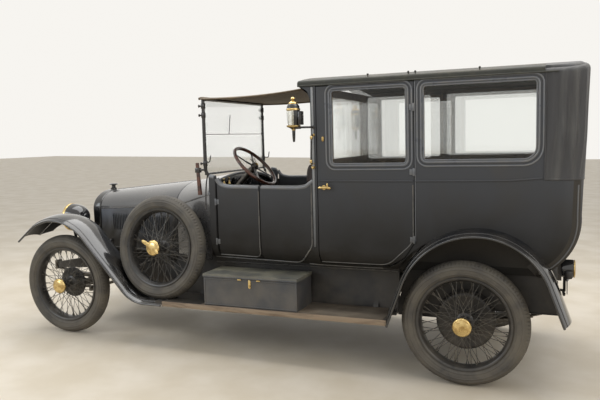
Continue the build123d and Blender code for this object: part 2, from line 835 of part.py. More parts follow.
scuttle_outside = scuttle_block(0, body_bottom)
scuttle_room = scuttle_block(scuttle_sheet, body_bottom - 10)
scuttle_core = scuttle_block(scuttle_sheet, body_bottom)
bulkhead = scuttle_core & (Pos(scuttle_front - 25, 0, 1000) * Box(20, 2000, 2000))
instrument_board = scuttle_core & (Pos(dash_x + 40, 0, 2270) * Box(20, 2000, 2000))
wheel_axis = Plane(origin=(steering_x, steering_y, steering_z), z_dir=-column_dir)
with BuildPart() as scuttle:
    add(scuttle_outside)
    add(scuttle_room, mode=Mode.SUBTRACT)
    add(bulkhead)
    add(instrument_board)
    with Locations(wheel_axis):
        Cylinder(column_radius + run_gap, 1200, align=(Align.CENTER, Align.CENTER, Align.MAX), mode=Mode.SUBTRACT)
    add(engine.part, mode=Mode.SUBTRACT)
pieces["scuttle"] = scuttle

# Bonnet: each half is a top leaf on the centre hinge and a side leaf on the shoulder hinge
bonnet_rear_x = scuttle_front + shut_gap
bonnet_front_x = radiator_back - shut_gap
centre_gap = 3
shoulder_gap = 5
shoulder_drop = 4


def bonnet_block(inset, rear_x, front_x):
    """The closed bonnet between scuttle and radiator as a solid."""
    rear = arched(rear_x, bonnet_rear_half - inset, bonnet_rear_shoulder - inset, bonnet_rear_top - inset,
                  bonnet_bottom)
    front = arched(front_x, bonnet_front_half - inset, bonnet_front_shoulder - inset, bonnet_front_top - inset,
                   bonnet_bottom)
    return skinned([rear, front], twisted=True)


def bonnet_zone(rear_low, front_low, rear_high, front_high):
    """The space on the left side between two sloping levels, given at the bonnet's two ends."""
    return side_slab(((bonnet_rear_x - 5, rear_low), (bonnet_front_x + 5, front_low),
                      (bonnet_front_x + 5, front_high), (bonnet_rear_x - 5, rear_high)), centre_gap / 2, 900)


bonnet_outside = bonnet_block(0, bonnet_rear_x, bonnet_front_x)
bonnet_room = bonnet_block(bonnet_sheet, bonnet_rear_x - 1, bonnet_front_x + 1)
top_zone = bonnet_zone(bonnet_rear_shoulder - shoulder_drop, bonnet_front_shoulder - shoulder_drop, 1600, 1600)
side_zone = bonnet_zone(700, 700, bonnet_rear_shoulder - shoulder_drop - shoulder_gap,
                        bonnet_front_shoulder - shoulder_drop - shoulder_gap)
for leaf_name, zone in (("bonnet_top", top_zone), ("bonnet_side", side_zone)):
    with BuildPart() as leaf:
        add(bonnet_outside)
        add(bonnet_room, mode=Mode.SUBTRACT)
        add(zone, mode=Mode.INTERSECT)
    pieces[leaf_name + "_left"] = leaf
    pieces[leaf_name + "_right"] = mirrored(leaf)

# Radiator: a rounded shell round a finned core, with its filler cap
shell_half = bonnet_front_half + 6
mouth_half = shell_half - shell_border
shell_line = (shell_half, bonnet_front_shoulder, bonnet_front_top + 4, radiator_foot)
mouth_line = (mouth_half, bonnet_front_shoulder - 20, bonnet_front_top - 44, radiator_foot + shell_border)
shell_block, mouth_block = [skinned([arched(radiator_back, *line), arched(radiator_front, *line)])
                            for line in (shell_line, mouth_line)]
cap_x = (radiator_back + radiator_front) / 2
cap_z = bonnet_front_top + 2
with BuildPart() as radiator_shell:
    add(shell_block)
    add(mouth_block, mode=Mode.SUBTRACT)
    with BuildSketch(Plane.XY.offset(cap_z - 20)):
        with Locations((cap_x, 0)):
            RegularPolygon(32, 12)
    extrude(amount=40)
    with BuildSketch(Plane.XY.offset(cap_z + 20)):
        with Locations((cap_x, 0)):
            RegularPolygon(38, 8)
    extrude(amount=40, taper=12)
    add(frame.part, mode=Mode.SUBTRACT)
pieces["radiator_shell"] = radiator_shell

fin_pitch = 2 * mouth_half / fin_count
with BuildPart() as radiator_core:
    add(mouth_block)
    with Locations((radiator_front, 0, 1000)):
        Box(14, 2000, 2000, align=(Align.MAX, Align.CENTER, Align.CENTER), mode=Mode.SUBTRACT)
    for fin in range(1, fin_count):
        with Locations((radiator_front - 14, fin * fin_pitch - mouth_half, 1000)):
            Box(16, fin_pitch / 2, 2000, align=(Align.MAX, Align.CENTER, Align.CENTER), mode=Mode.SUBTRACT)
pieces["radiator_core"] = radiator_core

# Fenders: one crowned section carried along the side view's line
# columns: share of the width from the inner to the outer edge, share of the crown's height
crown_table = ((0, 0.6), (0.3, 1), (0.55, 0.95), (0.8, 0.6), (1, 0))
crown_line = [(-fender_inner - share * (fender_outer - fender_inner), rise * fender_crown)
              for share, rise in crown_table]
sheet_under = [(y + (fender_sheet if rise == 0 else 0), rise - fender_sheet) for y, rise in crown_line]
sheet_lip = [(-fender_outer, -fender_lip), (-fender_outer + fender_sheet, -fender_lip)]
sheet_section = [*crown_line, *sheet_lip, *reversed(sheet_under)]
filled_section = [*crown_line, (-fender_outer, -fender_fill), (-fender_inner, -fender_fill)]


def fender(points, radii, section):
    """A section carried along a line with rounded corners, seen from the side."""
    path = FilletPolyline(*[(x, 0, z) for x, z in points], radius=radii)
    rings = []
    for edge in path.edges():
        steps = 1 if edge.geom_type == GeomType.LINE else arc_steps
        for k in range(1 if rings else 0, steps + 1):
            plane = Plane(origin=edge @ (k / steps), x_dir=(0, -1, 0), z_dir=edge % (k / steps))
            rings.append([plane.from_local_coords((across, over)) for across, over in section])
    return skinned(rings)


fender_foot = board_top - board_thickness
front_fender_line = ((fender_tip, 880), (3475, 1240), (2722, fender_foot), (board_front - 60, fender_foot))
rear_fender_line = ((board_rear + 6, 400), (280, 1065), (-430, 1065), (-690, 370))
front_fender_sheet, front_fender_fill = [fender(front_fender_line, (430, 300), section)
                                         for section in (sheet_section, filled_section)]
rear_fender_sheet, rear_fender_fill = [fender(rear_fender_line, (538, 480), section)
                                       for section in (sheet_section, filled_section)]
stay_x = front_axle_x + 20
with BuildPart() as front_fender_left:
    add(front_fender_sheet)
    with Locations((stay_x, rail_half, rail_bottom + 50)):
        Box(30, fender_inner - rail_half + 30, 26, align=(Align.CENTER, Align.MIN, Align.CENTER))
    with Locations((stay_x, fender_inner + 30, rail_bottom + 37)):
        Box(30, 26, 484, align=(Align.CENTER, Align.MAX, Align.MIN))
front_fender_right = mirrored(front_fender_left)
front_fender_left.part = front_fender_left.part - spare_well
pieces["front_fender_left"] = front_fender_left
pieces["front_fender_right"] = front_fender_right

with BuildPart() as rear_fender_left:
    add(rear_fender_sheet)
    add(cabin_outer.part, mode=Mode.SUBTRACT)
pieces["rear_fender_left"] = rear_fender_left
pieces["rear_fender_right"] = mirrored(rear_fender_left)

# Running boards with their aprons and brackets
board_low = board_top - board_thickness
apron_line = (
    (board_inner, board_low),
    (board_inner - apron_lean, body_bottom),
    (board_inner - apron_lean + apron_sheet, body_bottom),
    (board_inner + apron_sheet, board_low),
)
bracket_line = (
    (rail_half, rail_bottom + 20),
    (rail_half, rail_bottom + 60),
    (board_inner + 40, board_low),
    (board_outer - 60, board_low),
    (board_outer - 60, board_low - 20),
    (board_inner, board_low - 30),
)
apron = cross_slab(apron_line, board_rear, board_front)
brackets = [cross_slab(bracket_line, x - 20, x + 20) for x in (700, 1500, 2240)]
with BuildPart() as board_right:
    with Locations((board_rear, board_inner, board_top)):
        Box(board_front - board_rear, board_outer - board_inner, board_thickness,
            align=(Align.MIN, Align.MIN, Align.MAX))
    add(apron)
    add(brackets)
    add(front_fender_fill, mode=Mode.SUBTRACT)
    add(rear_fender_fill, mode=Mode.SUBTRACT)
    mirror(about=Plane.XZ, mode=Mode.REPLACE)
with BuildPart() as board_left:
    mirror(board_right.part, about=Plane.XZ)
    add(spare_well, mode=Mode.SUBTRACT)
pieces["board_left"] = board_left
pieces["board_right"] = board_right

# Toolbox on the left board: an open box and its hinged lid
box_top = board_top + box_height
with BuildPart() as toolbox:
    with Locations((box_rear, box_inner, board_top)):
        Box(box_front - box_rear, box_outer - box_inner, box_height, align=(Align.MIN, Align.MIN, Align.MIN))
    with Locations((box_rear + box_wall, box_inner + box_wall, board_top + box_wall)):
        Box(box_front - box_rear - 2 * box_wall, box_outer - box_inner - 2 * box_wall, box_height,
            align=(Align.MIN, Align.MIN, Align.MIN), mode=Mode.SUBTRACT)
pieces["toolbox"] = toolbox
with BuildPart() as toolbox_lid:
    with Locations((box_rear - lid_lip, box_inner, box_top + pin_gap)):
        Box(box_front - box_rear + 2 * lid_lip, box_outer - box_inner + lid_lip, lid_thickness,
            align=(Align.MIN, Align.MIN, Align.MIN))
pieces["toolbox_lid"] = toolbox_lid

# Windscreen: an upright frame with one cross bar
pane_half = screen_half - screen_bar
pane_rows = ((screen_bottom + screen_bar, screen_mid), (screen_mid + screen_bar, screen_top - screen_bar))
with BuildPart() as windscreen:
    with Locations((screen_x, 0, screen_bottom)):
        Box(screen_bar, 2 * screen_half, screen_top - screen_bottom, align=(Align.CENTER, Align.CENTER, Align.MIN))
    for low, high in pane_rows:
        with Locations((screen_x, 0, low)):
            Box(screen_bar + 2, 2 * pane_half, high - low, align=(Align.CENTER, Align.CENTER, Align.MIN),
                mode=Mode.SUBTRACT)
    for foot_y in (-screen_half, screen_half - screen_bar):
        with Locations((screen_x, foot_y, screen_bottom)):
            Box(screen_bar, screen_bar, 150, align=(Align.CENTER, Align.MIN, Align.MAX))
    add(scuttle_outside, mode=Mode.SUBTRACT)
pieces["windscreen"] = windscreen

# Canopy: a thin leather sheet from the windscreen's top rail to the roof, sagging between them
canopy_front = screen_x + screen_bar / 2
canopy_line = []
for share in (0, 0.25, 0.5, 0.75, 1):
    canopy_line.append((canopy_front + share * (roof_front - canopy_front),
                        screen_top + share * (eaves_z + 6 - screen_top) - 4 * canopy_sag * share * (1 - share)))
canopy_sheet = side_slab(canopy_line + [(x, z + canopy_thickness) for x, z in reversed(canopy_line)],
                         -canopy_half, canopy_half)
with BuildPart() as canopy:
    add(canopy_sheet)
    add(windscreen.part, mode=Mode.SUBTRACT)
pieces["canopy"] = canopy

# Fixed glass: quarter windows, division, windscreen panes
with BuildPart() as window_glass:
    add(pane(quarter_window).part)
    mirror(about=Plane.XZ)
    with Locations((division_x + 10, 0, light_z)):
        Box(glass_thickness, 2 * division_light_half, light_height, align=(Align.MIN, Align.CENTER, Align.CENTER))
    for low, high in pane_rows:
        with Locations((screen_x, 0, low)):
            Box(glass_thickness, 2 * pane_half, high - low, align=(Align.CENTER, Align.CENTER, Align.MIN))
pieces["window_glass"] = window_glass

# Steering column and wheel
steering_box_z = steering_z - (column_length + 30) * sin(radians(column_tilt))
steering_box_x = steering_x + (column_length + 30) * cos(radians(column_tilt))
with BuildPart() as steering_column:
    with Locations(wheel_axis.offset(-30)):
        Cylinder(column_radius, column_length, align=(Align.CENTER, Align.CENTER, Align.MAX))
    with Locations((steering_box_x, steering_y, steering_box_z)):
        Box(110, 80, 110)
    with Locations((steering_box_x, rail_in + 12, steering_box_z)):
        Box(90, 30, steering_box_z - rail_top, align=(Align.CENTER, Align.CENTER, Align.MAX))
    add(engine.part, mode=Mode.SUBTRACT)
pieces["steering_column"] = steering_column

steer_outer = steering_radius - 4
steer_inner = steering_radius - 2 * steering_rim + 4
steering_ring = turned(((-10, steer_outer), (0, steering_radius), (10, steer_outer)), 32) - turned(
    ((-11, steer_inner), (0, steer_inner - 4), (11, steer_inner)), 32)
with BuildPart() as steering_wheel:
    add(wheel_axis.location * Rot(90, 0, 0) * steering_ring)
    with Locations(wheel_axis):
        Cylinder(30, 44)
    for spoke in range(4):
        with Locations(wheel_axis.location * Rot(0, 0, 90 * spoke + 45)):
            Box(steering_radius - steering_rim, 22, 8, align=(Align.MIN, Align.CENTER, Align.CENTER))
pieces["steering_wheel"] = steering_wheel

# Seats: base cushions and backs
with BuildPart() as front_seat:
    with Locations((seat_rear + 10, 0, floor_top + seat_height)):
        Box(seat_depth, 1160, 120, align=(Align.MIN, Align.CENTER, Align.MIN))
    with Locations((cabin_front + 4, 0, floor_top + seat_height + 124)):
        Box(110, 1160, 330, align=(Align.MIN, Align.CENTER, Align.MIN))
pieces["front_seat"] = front_seat
with BuildPart() as rear_seat:
    with Locations((rear_seat_x, 0, floor_top + seat_height)):
        Box(470, 1100, 130, align=(Align.CENTER, Align.CENTER, Align.MIN))
    with Locations((-cabin_rear + cabin_wall + 60, 0, floor_top + seat_height + 134)):
        Box(170, 1100, 560, align=(Align.MIN, Align.CENTER, Align.MIN))
pieces["rear_seat"] = rear_seat

# Headlamps: turned bowls on stalks from the frame
bowl = turned(((-88, 40), (-70, 78), (-20, 112), (60, headlamp_radius), (88, headlamp_radius)), 24)
bowl_room = turned(((-60, 60), (-16, 100), (60, headlamp_radius - 10), (89, headlamp_radius - 10)), 24)
lamp_place = Pos(headlamp_x, headlamp_y, headlamp_z) * Rot(0, 0, -90)
with BuildPart() as headlamps:
    add(lamp_place * (bowl - bowl_room))
    with Locations((headlamp_x, headlamp_y, headlamp_z - 115)):
        Box(24, 24, headlamp_z - 115 - rail_bottom - 40, align=(Align.CENTER, Align.CENTER, Align.MAX))
    with Locations((headlamp_x, rail_half - 20, rail_bottom + 50)):
        Box(40, headlamp_y - rail_half + 32, 30, align=(Align.CENTER, Align.MIN, Align.CENTER))
    add(frame.part, mode=Mode.SUBTRACT)
    mirror(about=Plane.XZ)
pieces["headlamps"] = headlamps

lens = turned(((72, headlamp_radius - 12), (77, headlamp_radius - 12)), 24)
side_glass = turned(((0, side_lamp_radius - 10), (115, side_lamp_radius - 10)), 12)
with BuildPart() as lamp_glass:
    add(lamp_place * lens)
    add(Pos(side_lamp_x, side_lamp_y, side_lamp_z) * Rot(90, 0, 0) * side_glass)
    mirror(about=Plane.XZ)
pieces["lamp_glass"] = lamp_glass

# Side lamps: a brass lantern on a bracket from each front pillar
lantern_base = turned(((-118, 10), (-60, 14), (-44, 34), (-20, side_lamp_radius), (0, side_lamp_radius)), 12)
lantern_roof = turned(((115, side_lamp_radius), (128, side_lamp_radius), (160, 30), (184, 30), (196, 10), (212, 6)), 12)
lantern_place = Pos(side_lamp_x, side_lamp_y, side_lamp_z) * Rot(90, 0, 0)
with BuildPart() as side_lamps:
    add(lantern_place * lantern_base)
    add(lantern_place * lantern_roof)
    for post in range(4):
        turn = radians(45 + 90 * post)
        reach = side_lamp_radius - 5
        with Locations((side_lamp_x + reach * cos(turn), side_lamp_y + reach * sin(turn), side_lamp_z)):
            Box(6, 6, 115, align=(Align.CENTER, Align.CENTER, Align.MIN))
    with Locations((side_lamp_x - 20, side_lamp_y, side_lamp_z - 12)):
        Box(side_lamp_x - cabin_front + 10, 14, 20, align=(Align.MAX, Align.CENTER, Align.CENTER))
    with Locations((cabin_front - 6, cabin_half, side_lamp_z - 12)):
        Box(24, side_lamp_y - cabin_half + 7, 34, align=(Align.MAX, Align.MIN, Align.CENTER))
    mirror(about=Plane.XZ)
pieces["side_lamps"] = side_lamps

# Tail lamp on a bracket from the frame's rear end
tail_x = frame_rear - 40
with BuildPart() as tail_lamp:
    with Locations(Plane(origin=(tail_x - 60, tail_lamp_y, 825), z_dir=(1, 0, 0))):
        Cylinder(62, 84, align=(Align.CENTER, Align.CENTER, Align.MIN))
    with Locations((tail_x, tail_lamp_y, 780)):
        Box(16, 30, 160, align=(Align.CENTER, Align.CENTER, Align.MAX))
    with Locations((tail_x, tail_lamp_y + 15, 632)):
        Box(16, tail_lamp_y + 15 - rail_in, 24, align=(Align.CENTER, Align.MAX, Align.CENTER))
    with Locations((frame_rear, rail_in + rail_width / 2, 632)):
        Box(frame_rear - tail_x + 8, 30, 24, align=(Align.MAX, Align.CENTER, Align.CENTER))
    add(rear_body.part, mode=Mode.SUBTRACT)
    add(rear_fender_sheet, mode=Mode.SUBTRACT)
pieces["tail_lamp"] = tail_lamp

# Fuel tank between the rails at the rear, and the exhaust pipe with its silencer
with BuildPart() as fuel_tank:
    with Locations(Plane(origin=(-370, 0, rail_bottom - 20), z_dir=(0, 1, 0))):
        Cylinder(115, 560)
    add(frame.part, mode=Mode.SUBTRACT)
pieces["fuel_tank"] = fuel_tank

exhaust_y = -200
exhaust_z = rail_bottom - 30
with BuildPart() as exhaust:
    # columns: x of the front end, length, radius
    for x, length, radius in ((2900, 1100, 24), (1800, 600, 70), (1200, 760, 20)):
        with Locations(Plane(origin=(x, exhaust_y, exhaust_z), z_dir=(-1, 0, 0))):
            Cylinder(radius, length, align=(Align.CENTER, Align.CENTER, Align.MIN))
    for x in (620, 1500, 2330):
        with Locations((x, exhaust_y, exhaust_z)):
            Box(24, 30, rail_bottom + 24 - exhaust_z, align=(Align.CENTER, Align.CENTER, Align.MIN))
    add(frame.part, mode=Mode.SUBTRACT)
pieces["exhaust"] = exhaust

# Door handles: a brass lever outside each rear door
with BuildPart() as door_handle_left:
    with Locations((1030, cabin_half, 1378)):
        Box(26, 34, 26, align=(Align.CENTER, Align.MIN, Align.CENTER))
    with Locations((1043, cabin_half + 24, 1378)):
        Box(92, 12, 18, align=(Align.MAX, Align.MIN, Align.CENTER))
pieces["door_handle_left"] = door_handle_left
pieces["door_handle_right"] = mirrored(door_handle_left)

# Stand the car on its wheels and write every piece
pitch = radians(rake_deg)
tip_x, tip_z = front_fender_line[0]
tip_slope = atan2(front_fender_line[1][1] - tip_z, tip_x - front_fender_line[1][0])
tip_crown = Vector(sin(tip_slope), cos(tip_slope)) * fender_crown
front_end = (tip_x + tip_crown.X) * cos(pitch) + (tip_z + tip_crown.Y - tyre_radius) * sin(pitch)
rear_end = (eaves_z - tyre_radius) * sin(pitch) - cabin_rear_top * cos(pitch)
mid_x = (front_end + rear_end) / 2
stance = Pos(-mid_x, 0, tyre_radius) * Rot(0, rake_deg, 0) * Pos(0, 0, -tyre_radius)

for name, piece in pieces.items():
    piece.part = stance * piece.part
    piece.part.label = name
    export_step(piece.part, f"parts/{name}.step")
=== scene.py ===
import json
from math import atan2, cos, pi, radians, sin

import bpy
import numpy as np
from mathutils import Matrix


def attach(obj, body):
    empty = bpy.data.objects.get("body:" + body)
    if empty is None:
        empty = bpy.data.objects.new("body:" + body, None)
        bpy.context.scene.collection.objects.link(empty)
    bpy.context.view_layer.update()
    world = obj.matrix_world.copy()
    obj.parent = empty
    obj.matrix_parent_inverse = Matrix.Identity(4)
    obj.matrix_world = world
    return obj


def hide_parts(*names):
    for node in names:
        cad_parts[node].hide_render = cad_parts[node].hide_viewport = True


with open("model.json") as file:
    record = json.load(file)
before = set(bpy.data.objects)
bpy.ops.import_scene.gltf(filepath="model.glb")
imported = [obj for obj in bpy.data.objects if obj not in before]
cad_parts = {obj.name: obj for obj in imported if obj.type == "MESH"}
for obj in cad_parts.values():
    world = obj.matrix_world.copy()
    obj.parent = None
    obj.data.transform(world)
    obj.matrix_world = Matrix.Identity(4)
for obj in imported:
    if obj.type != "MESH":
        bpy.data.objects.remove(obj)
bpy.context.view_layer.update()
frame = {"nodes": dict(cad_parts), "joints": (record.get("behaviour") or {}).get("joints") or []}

# A closed 1920s limousine with an open driver's seat. Shapes are drawn level, in metres, with x forward from
# the rear axle, and stand() pitches them onto their wheels as the CAD does.
joints = {joint["name"]: joint for joint in frame["joints"]}
rear_axle = joints["spin_rear_left"]["pos_m"]
front_axle = joints["spin_front_left"]["pos_m"]
rake = atan2(joints["kingpin_left"]["axis"][0], joints["kingpin_left"]["axis"][2])
axle_z = rear_axle[2]

# The body: half widths in plan, rolled lower edge, leaning rear, and the bow of the lower rear corner
body_half, front_half = 0.705, 0.618
cabin_front, dash_x = 1.113, 2.05
body_bottom, roll = 0.765, 0.15
rear_x, rear_lean = -0.742, 0.0355
bow_top, bow_centre, bow_radius = 1.195, (-0.3131, 1.1633), 0.43
# Hood, roof and windscreen
hood_waist, hood_front = 1.446, -0.51
eaves, roof_side, roof_crown, roof_front = 2.125, 2.168, 2.236, 1.215
screen_x = 2.112
# Fenders across the car, the wheels' middles, the running board's top and the leaning spare
fender_in, fender_out, fender_crown = 0.56, 0.832, 0.044
rear_hub, front_hub = (0.0, 0.0, 0.44), (3.483, 0.0, 0.44)
board_top = 0.435
spare_spot = np.array((2.515, 0.645, 0.858))
spare_lean, spare_toe = radians(6.8), radians(3.9)
spare_axis = np.array((sin(spare_toe) * cos(spare_lean), cos(spare_toe) * cos(spare_lean), sin(spare_lean)))


# Points and lines
def unit(vectors):
    """Vectors divided by their own lengths."""
    vectors = np.asarray(vectors, float)
    return vectors / np.maximum(np.linalg.norm(vectors, axis=-1, keepdims=True), 1e-12)


def stand(points):
    """Points of the level drawing, turned by the rake about the rear axle's height and moved along x."""
    x, y, z = np.moveaxis(np.asarray(points, float), -1, 0)
    over = z - axle_z
    return np.stack([x * cos(rake) + over * sin(rake) + rear_axle[0], y,
                     over * cos(rake) - x * sin(rake) + axle_z], -1)


def gridded(*columns):
    """Points from x, y and z, each a number or an array that is stretched to the others' form."""
    return np.stack(np.broadcast_arrays(*columns), -1)


def polar(radius, turn, *height):
    """Points at r cos t and r sin t, and at a height where one is given."""
    return gridded(radius * np.cos(turn), radius * np.sin(turn), *height)


def full_circle(count):
    """Angles at even steps once round, from 0."""
    return np.arange(count) * 2 * pi / count


def spaced(line, step):
    """A line's points again at even distances of about step, found along its running length."""
    line = np.asarray(line, float)
    run = np.concatenate([[0], np.cumsum(np.linalg.norm(np.diff(line, axis=0), axis=1))])
    at = np.linspace(0, run[-1], max(2, int(np.ceil(run[-1] / step)) + 1))
    return np.stack([np.interp(at, run, column) for column in line.T], -1)


def rounded(corners, radius, steps=8, closed=False):
    """A line through corners, each replaced by the arc of that radius that touches both of its sides."""
    corners = np.asarray(corners, float)
    radii = np.broadcast_to(radius, len(corners))
    line = []
    for k, here in enumerate(corners):
        if not closed and k in (0, len(corners) - 1):
            line.append(here[None])
            continue
        back = unit(corners[k - 1] - here)
        ahead = unit(corners[(k + 1) % len(corners)] - here)
        half = np.arccos(np.clip(-back @ ahead, -1, 1)) / 2
        reach = radii[k] * np.tan(half)
        centre = here + unit(back + ahead) * radii[k] / np.cos(half)
        turn = np.linspace(-half, half, steps + 1)[:, None]
        line.append(centre + radii[k] * (np.cos(turn) * unit(here - centre) + np.sin(turn) * unit(
            (ahead - back) * reach)))
    return np.concatenate(line)


def bent(corners, radius, step, steps=6):
    """A rounded line's points at even distances of about step."""
    return spaced(rounded(corners, radius, steps), step)


def oblong(width, height, radius, steps=4):
    """A rectangle about the middle with rounded corners, as (across, over) points."""
    w, h = width / 2, height / 2
    return rounded(((w, -h), (w, h), (-w, h), (-w, -h)), radius, steps, closed=True)


# Shapes: points, four-sided faces and triangles
def flipped(shape):
    """The same shape with its faces turned over."""
    points, quads, tris = shape
    return points, quads[:, ::-1], tris[:, ::-1]


def outward(shape):
    """A closed shape with its faces outwards: turned over where its signed volume is negative."""
    points, quads, tris = shape
    corners = np.concatenate([quads[:, :3], quads[:, (0, 2, 3)], tris])
    a, b, c = np.moveaxis((points - points.mean(0))[corners], 1, 0)
    return flipped(shape) if (a * np.cross(b, c)).sum() < 0 else shape


def joined(*shapes):
    """Several shapes as one."""
    starts = np.cumsum([0] + [len(shape[0]) for shape in shapes])
    return (np.concatenate([shape[0] for shape in shapes]),
            np.concatenate([shape[1] + start for shape, start in zip(shapes, starts)]),
            np.concatenate([shape[2] + start for shape, start in zip(shapes, starts)]))


def other_side(shape):
    """The shape mirrored to the car's right, its faces turned over to stay outward."""
    return flipped((shape[0] * (1, -1, 1), shape[1], shape[2]))


def skin(grid, loop_u=False, loop_v=False, poles=None):
    """Quads between the rows of a grid of points; poles are two points that close the first and last ring."""
    rows, cols = grid.shape[:2]
    u = np.arange(rows if loop_u else rows - 1)[:, None]
    v = np.arange(cols if loop_v else cols - 1)[None]
    u1, v1 = (u + 1) % rows * cols, (v + 1) % cols
    quads = np.stack(np.broadcast_arrays(u * cols + v, u1 + v, u1 + v1, u * cols + v1), -1).reshape(-1, 4)
    points, tris = grid.reshape(-1, 3), np.zeros((0, 3), int)
    if poles is not None:
        k = np.arange(cols)
        last = (rows - 1) * cols
        after, pole = (k + 1) % cols, np.full(cols, len(points))
        tris = np.concatenate([np.stack([k, after, pole], -1),
                               np.stack([last + after, last + k, pole + 1], -1)])
        points = np.concatenate([points, poles])
    return points, quads, tris


def ring_ends(grid):
    """The middles of a grid's first and last rings."""
    return np.stack([grid[0].mean(0), grid[-1].mean(0)])


def plate(face, back, hole=None):
    """A closed plate: two grids of one form joined round their four edges, and round a hole where a mask of
    the grid's cells gives one."""
    rows, cols = face.shape[:2]
    points, quads, tris = skin(np.concatenate([face, back[::-1]]), loop_u=True)
    i, j = np.arange(rows - 1), np.zeros(rows - 1, int)

    def rim(near, far):
        """Quads from face edges, given as pairs of row and column arrays, to the same edges of the back."""
        (i, j), (k, m) = near, far
        end = 2 * rows - 1
        return np.stack([i * cols + j, (end - i) * cols + j, (end - k) * cols + m, k * cols + m], -1)

    parts = [rim((i, j), (i + 1, j)), rim((i, j + cols - 1), (i + 1, j + cols - 1))[:, ::-1]]
    if hole is not None:
        keep = np.ones((2 * rows, cols - 1), bool)
        keep[:rows - 1], keep[rows:-1] = ~hole, ~hole[::-1]
        quads = quads.reshape(2 * rows, cols - 1, 4)[keep]
        step = np.diff(hole.astype(int), axis=1)
        for sign in (-1, 1):
            i, j = np.nonzero(step == sign)
            parts.append(rim((i, j + 1), (i + 1, j + 1))[:, ::-sign])
        step = np.diff(hole.astype(int), axis=0)
        for sign in (-1, 1):
            i, j = np.nonzero(step == sign)
            parts.append(rim((i + 1, j), (i + 1, j + 1))[:, ::sign])
        quads = np.concatenate([quads, *parts])
        used, order = np.unique(quads, return_inverse=True)
        return outward((points[used], order.reshape(-1, 4), tris))
    return outward((points, np.concatenate([quads, *parts]), tris))


def normals(grid):
    """Cross product of a grid's two directions at each point, scaled to length one."""
    return unit(np.cross(np.gradient(grid, axis=0), np.gradient(grid, axis=1)))


def thick(grid, depth):
    """A plate whose face is the grid and whose back lies depth along its normals."""
    return plate(grid, grid + normals(grid) * depth)


def lathe(profile, sides=48, closed=False):
    """A profile turned about z: radius, height, radius and so on, in millimetres. A closed one is a ring."""
    radius, height = np.reshape(profile, (-1, 2)).T / 1000
    grid = polar(radius[:, None], full_circle(sides), height[:, None])
    if closed:
        return outward(skin(grid, loop_u=True, loop_v=True))
    poles = np.array([(0, 0, height[0]), (0, 0, height[-1])])
    return outward(skin(grid[radius > 1e-6], loop_v=True, poles=poles))


def aimed(shape, origin, axis=(0, 0, 1), across=(1, 0, 0)):
    """A shape drawn about z, turned so that z lies along axis and x near across, then moved to origin."""
    z = unit(axis)
    across = np.asarray(across, float)
    if abs(unit(across) @ z) > 0.99:
        across = np.array((0, 0, 1.0))
    x = unit(across - (across @ z) * z)
    return shape[0] @ np.stack([x, np.cross(z, x), z]) + origin, shape[1], shape[2]


def sweep(path, section, up=(0, 0, 1), closed=False):
    """A closed section of (across, over) points carried along a path, over pointing along up."""
    path = np.asarray(path, float)
    ahead = np.roll(path, -1, 0) - np.roll(path, 1, 0) if closed else np.gradient(path, axis=0)
    tangent = unit(ahead)
    side = unit(np.cross(np.broadcast_to(up, path.shape), tangent))
    over = np.cross(tangent, side)
    section = np.broadcast_to(section, (len(path), *np.shape(section)[-2:]))
    grid = path[:, None] + section[..., :1] * side[:, None] + section[..., 1:] * over[:, None]
    return outward(skin(grid, loop_u=closed, loop_v=True, poles=None if closed else ring_ends(grid)))


def tube(path, radius, up=(0, 1, 0), sides=10, closed=False):
    """A round section of a radius, or of one radius at each point, carried along a path."""
    radii = np.broadcast_to(radius, (len(path),))[:, None, None]
    return sweep(path, radii * polar(1, full_circle(sides)), up, closed)


def rods(feet, heads, radii, sides=8):
    """Straight round rods, all in one shape: rings of the given radii at even shares from foot to head."""
    feet, heads, radii = np.atleast_2d(feet), np.atleast_2d(heads), np.asarray(radii, float)
    axis = unit(heads - feet)
    helper = np.where(np.abs(axis[:, 2:]) < 0.9, (0, 0, 1), (1, 0, 0))
    side = unit(np.cross(helper, axis))
    over = np.cross(axis, side)
    turn = full_circle(sides)[:, None]
    ring = np.cos(turn) * side[:, None, None] + np.sin(turn) * over[:, None, None]
    share = np.linspace(0, 1, len(radii))[:, None]
    middle = feet[:, None] + share * (heads - feet)[:, None]
    grid = middle[:, :, None] + radii[:, None, None] * ring
    first = outward(skin(grid[0], loop_v=True, poles=middle[0, (0, -1)]))
    points = np.concatenate([grid.reshape(len(feet), -1, 3), middle[:, (0, -1)]], 1)
    shift = np.arange(len(feet))[:, None, None] * points.shape[1]
    return points.reshape(-1, 3), (first[1] + shift).reshape(-1, 4), (first[2] + shift).reshape(-1, 3)


def repeated(shape, spots, turns=np.eye(3)):
    """Copies of a shape, each turned by a 3 x 3 matrix whose columns are its axes and moved to a spot."""
    spots = np.atleast_2d(spots)
    turns = np.broadcast_to(turns, (len(spots), 3, 3))
    points = np.einsum("nij,kj->nki", turns, shape[0]) + spots[:, None]
    shift = np.arange(len(spots))[:, None, None] * len(shape[0])
    return points.reshape(-1, 3), (shape[1] + shift).reshape(-1, 4), (shape[2] + shift).reshape(-1, 3)


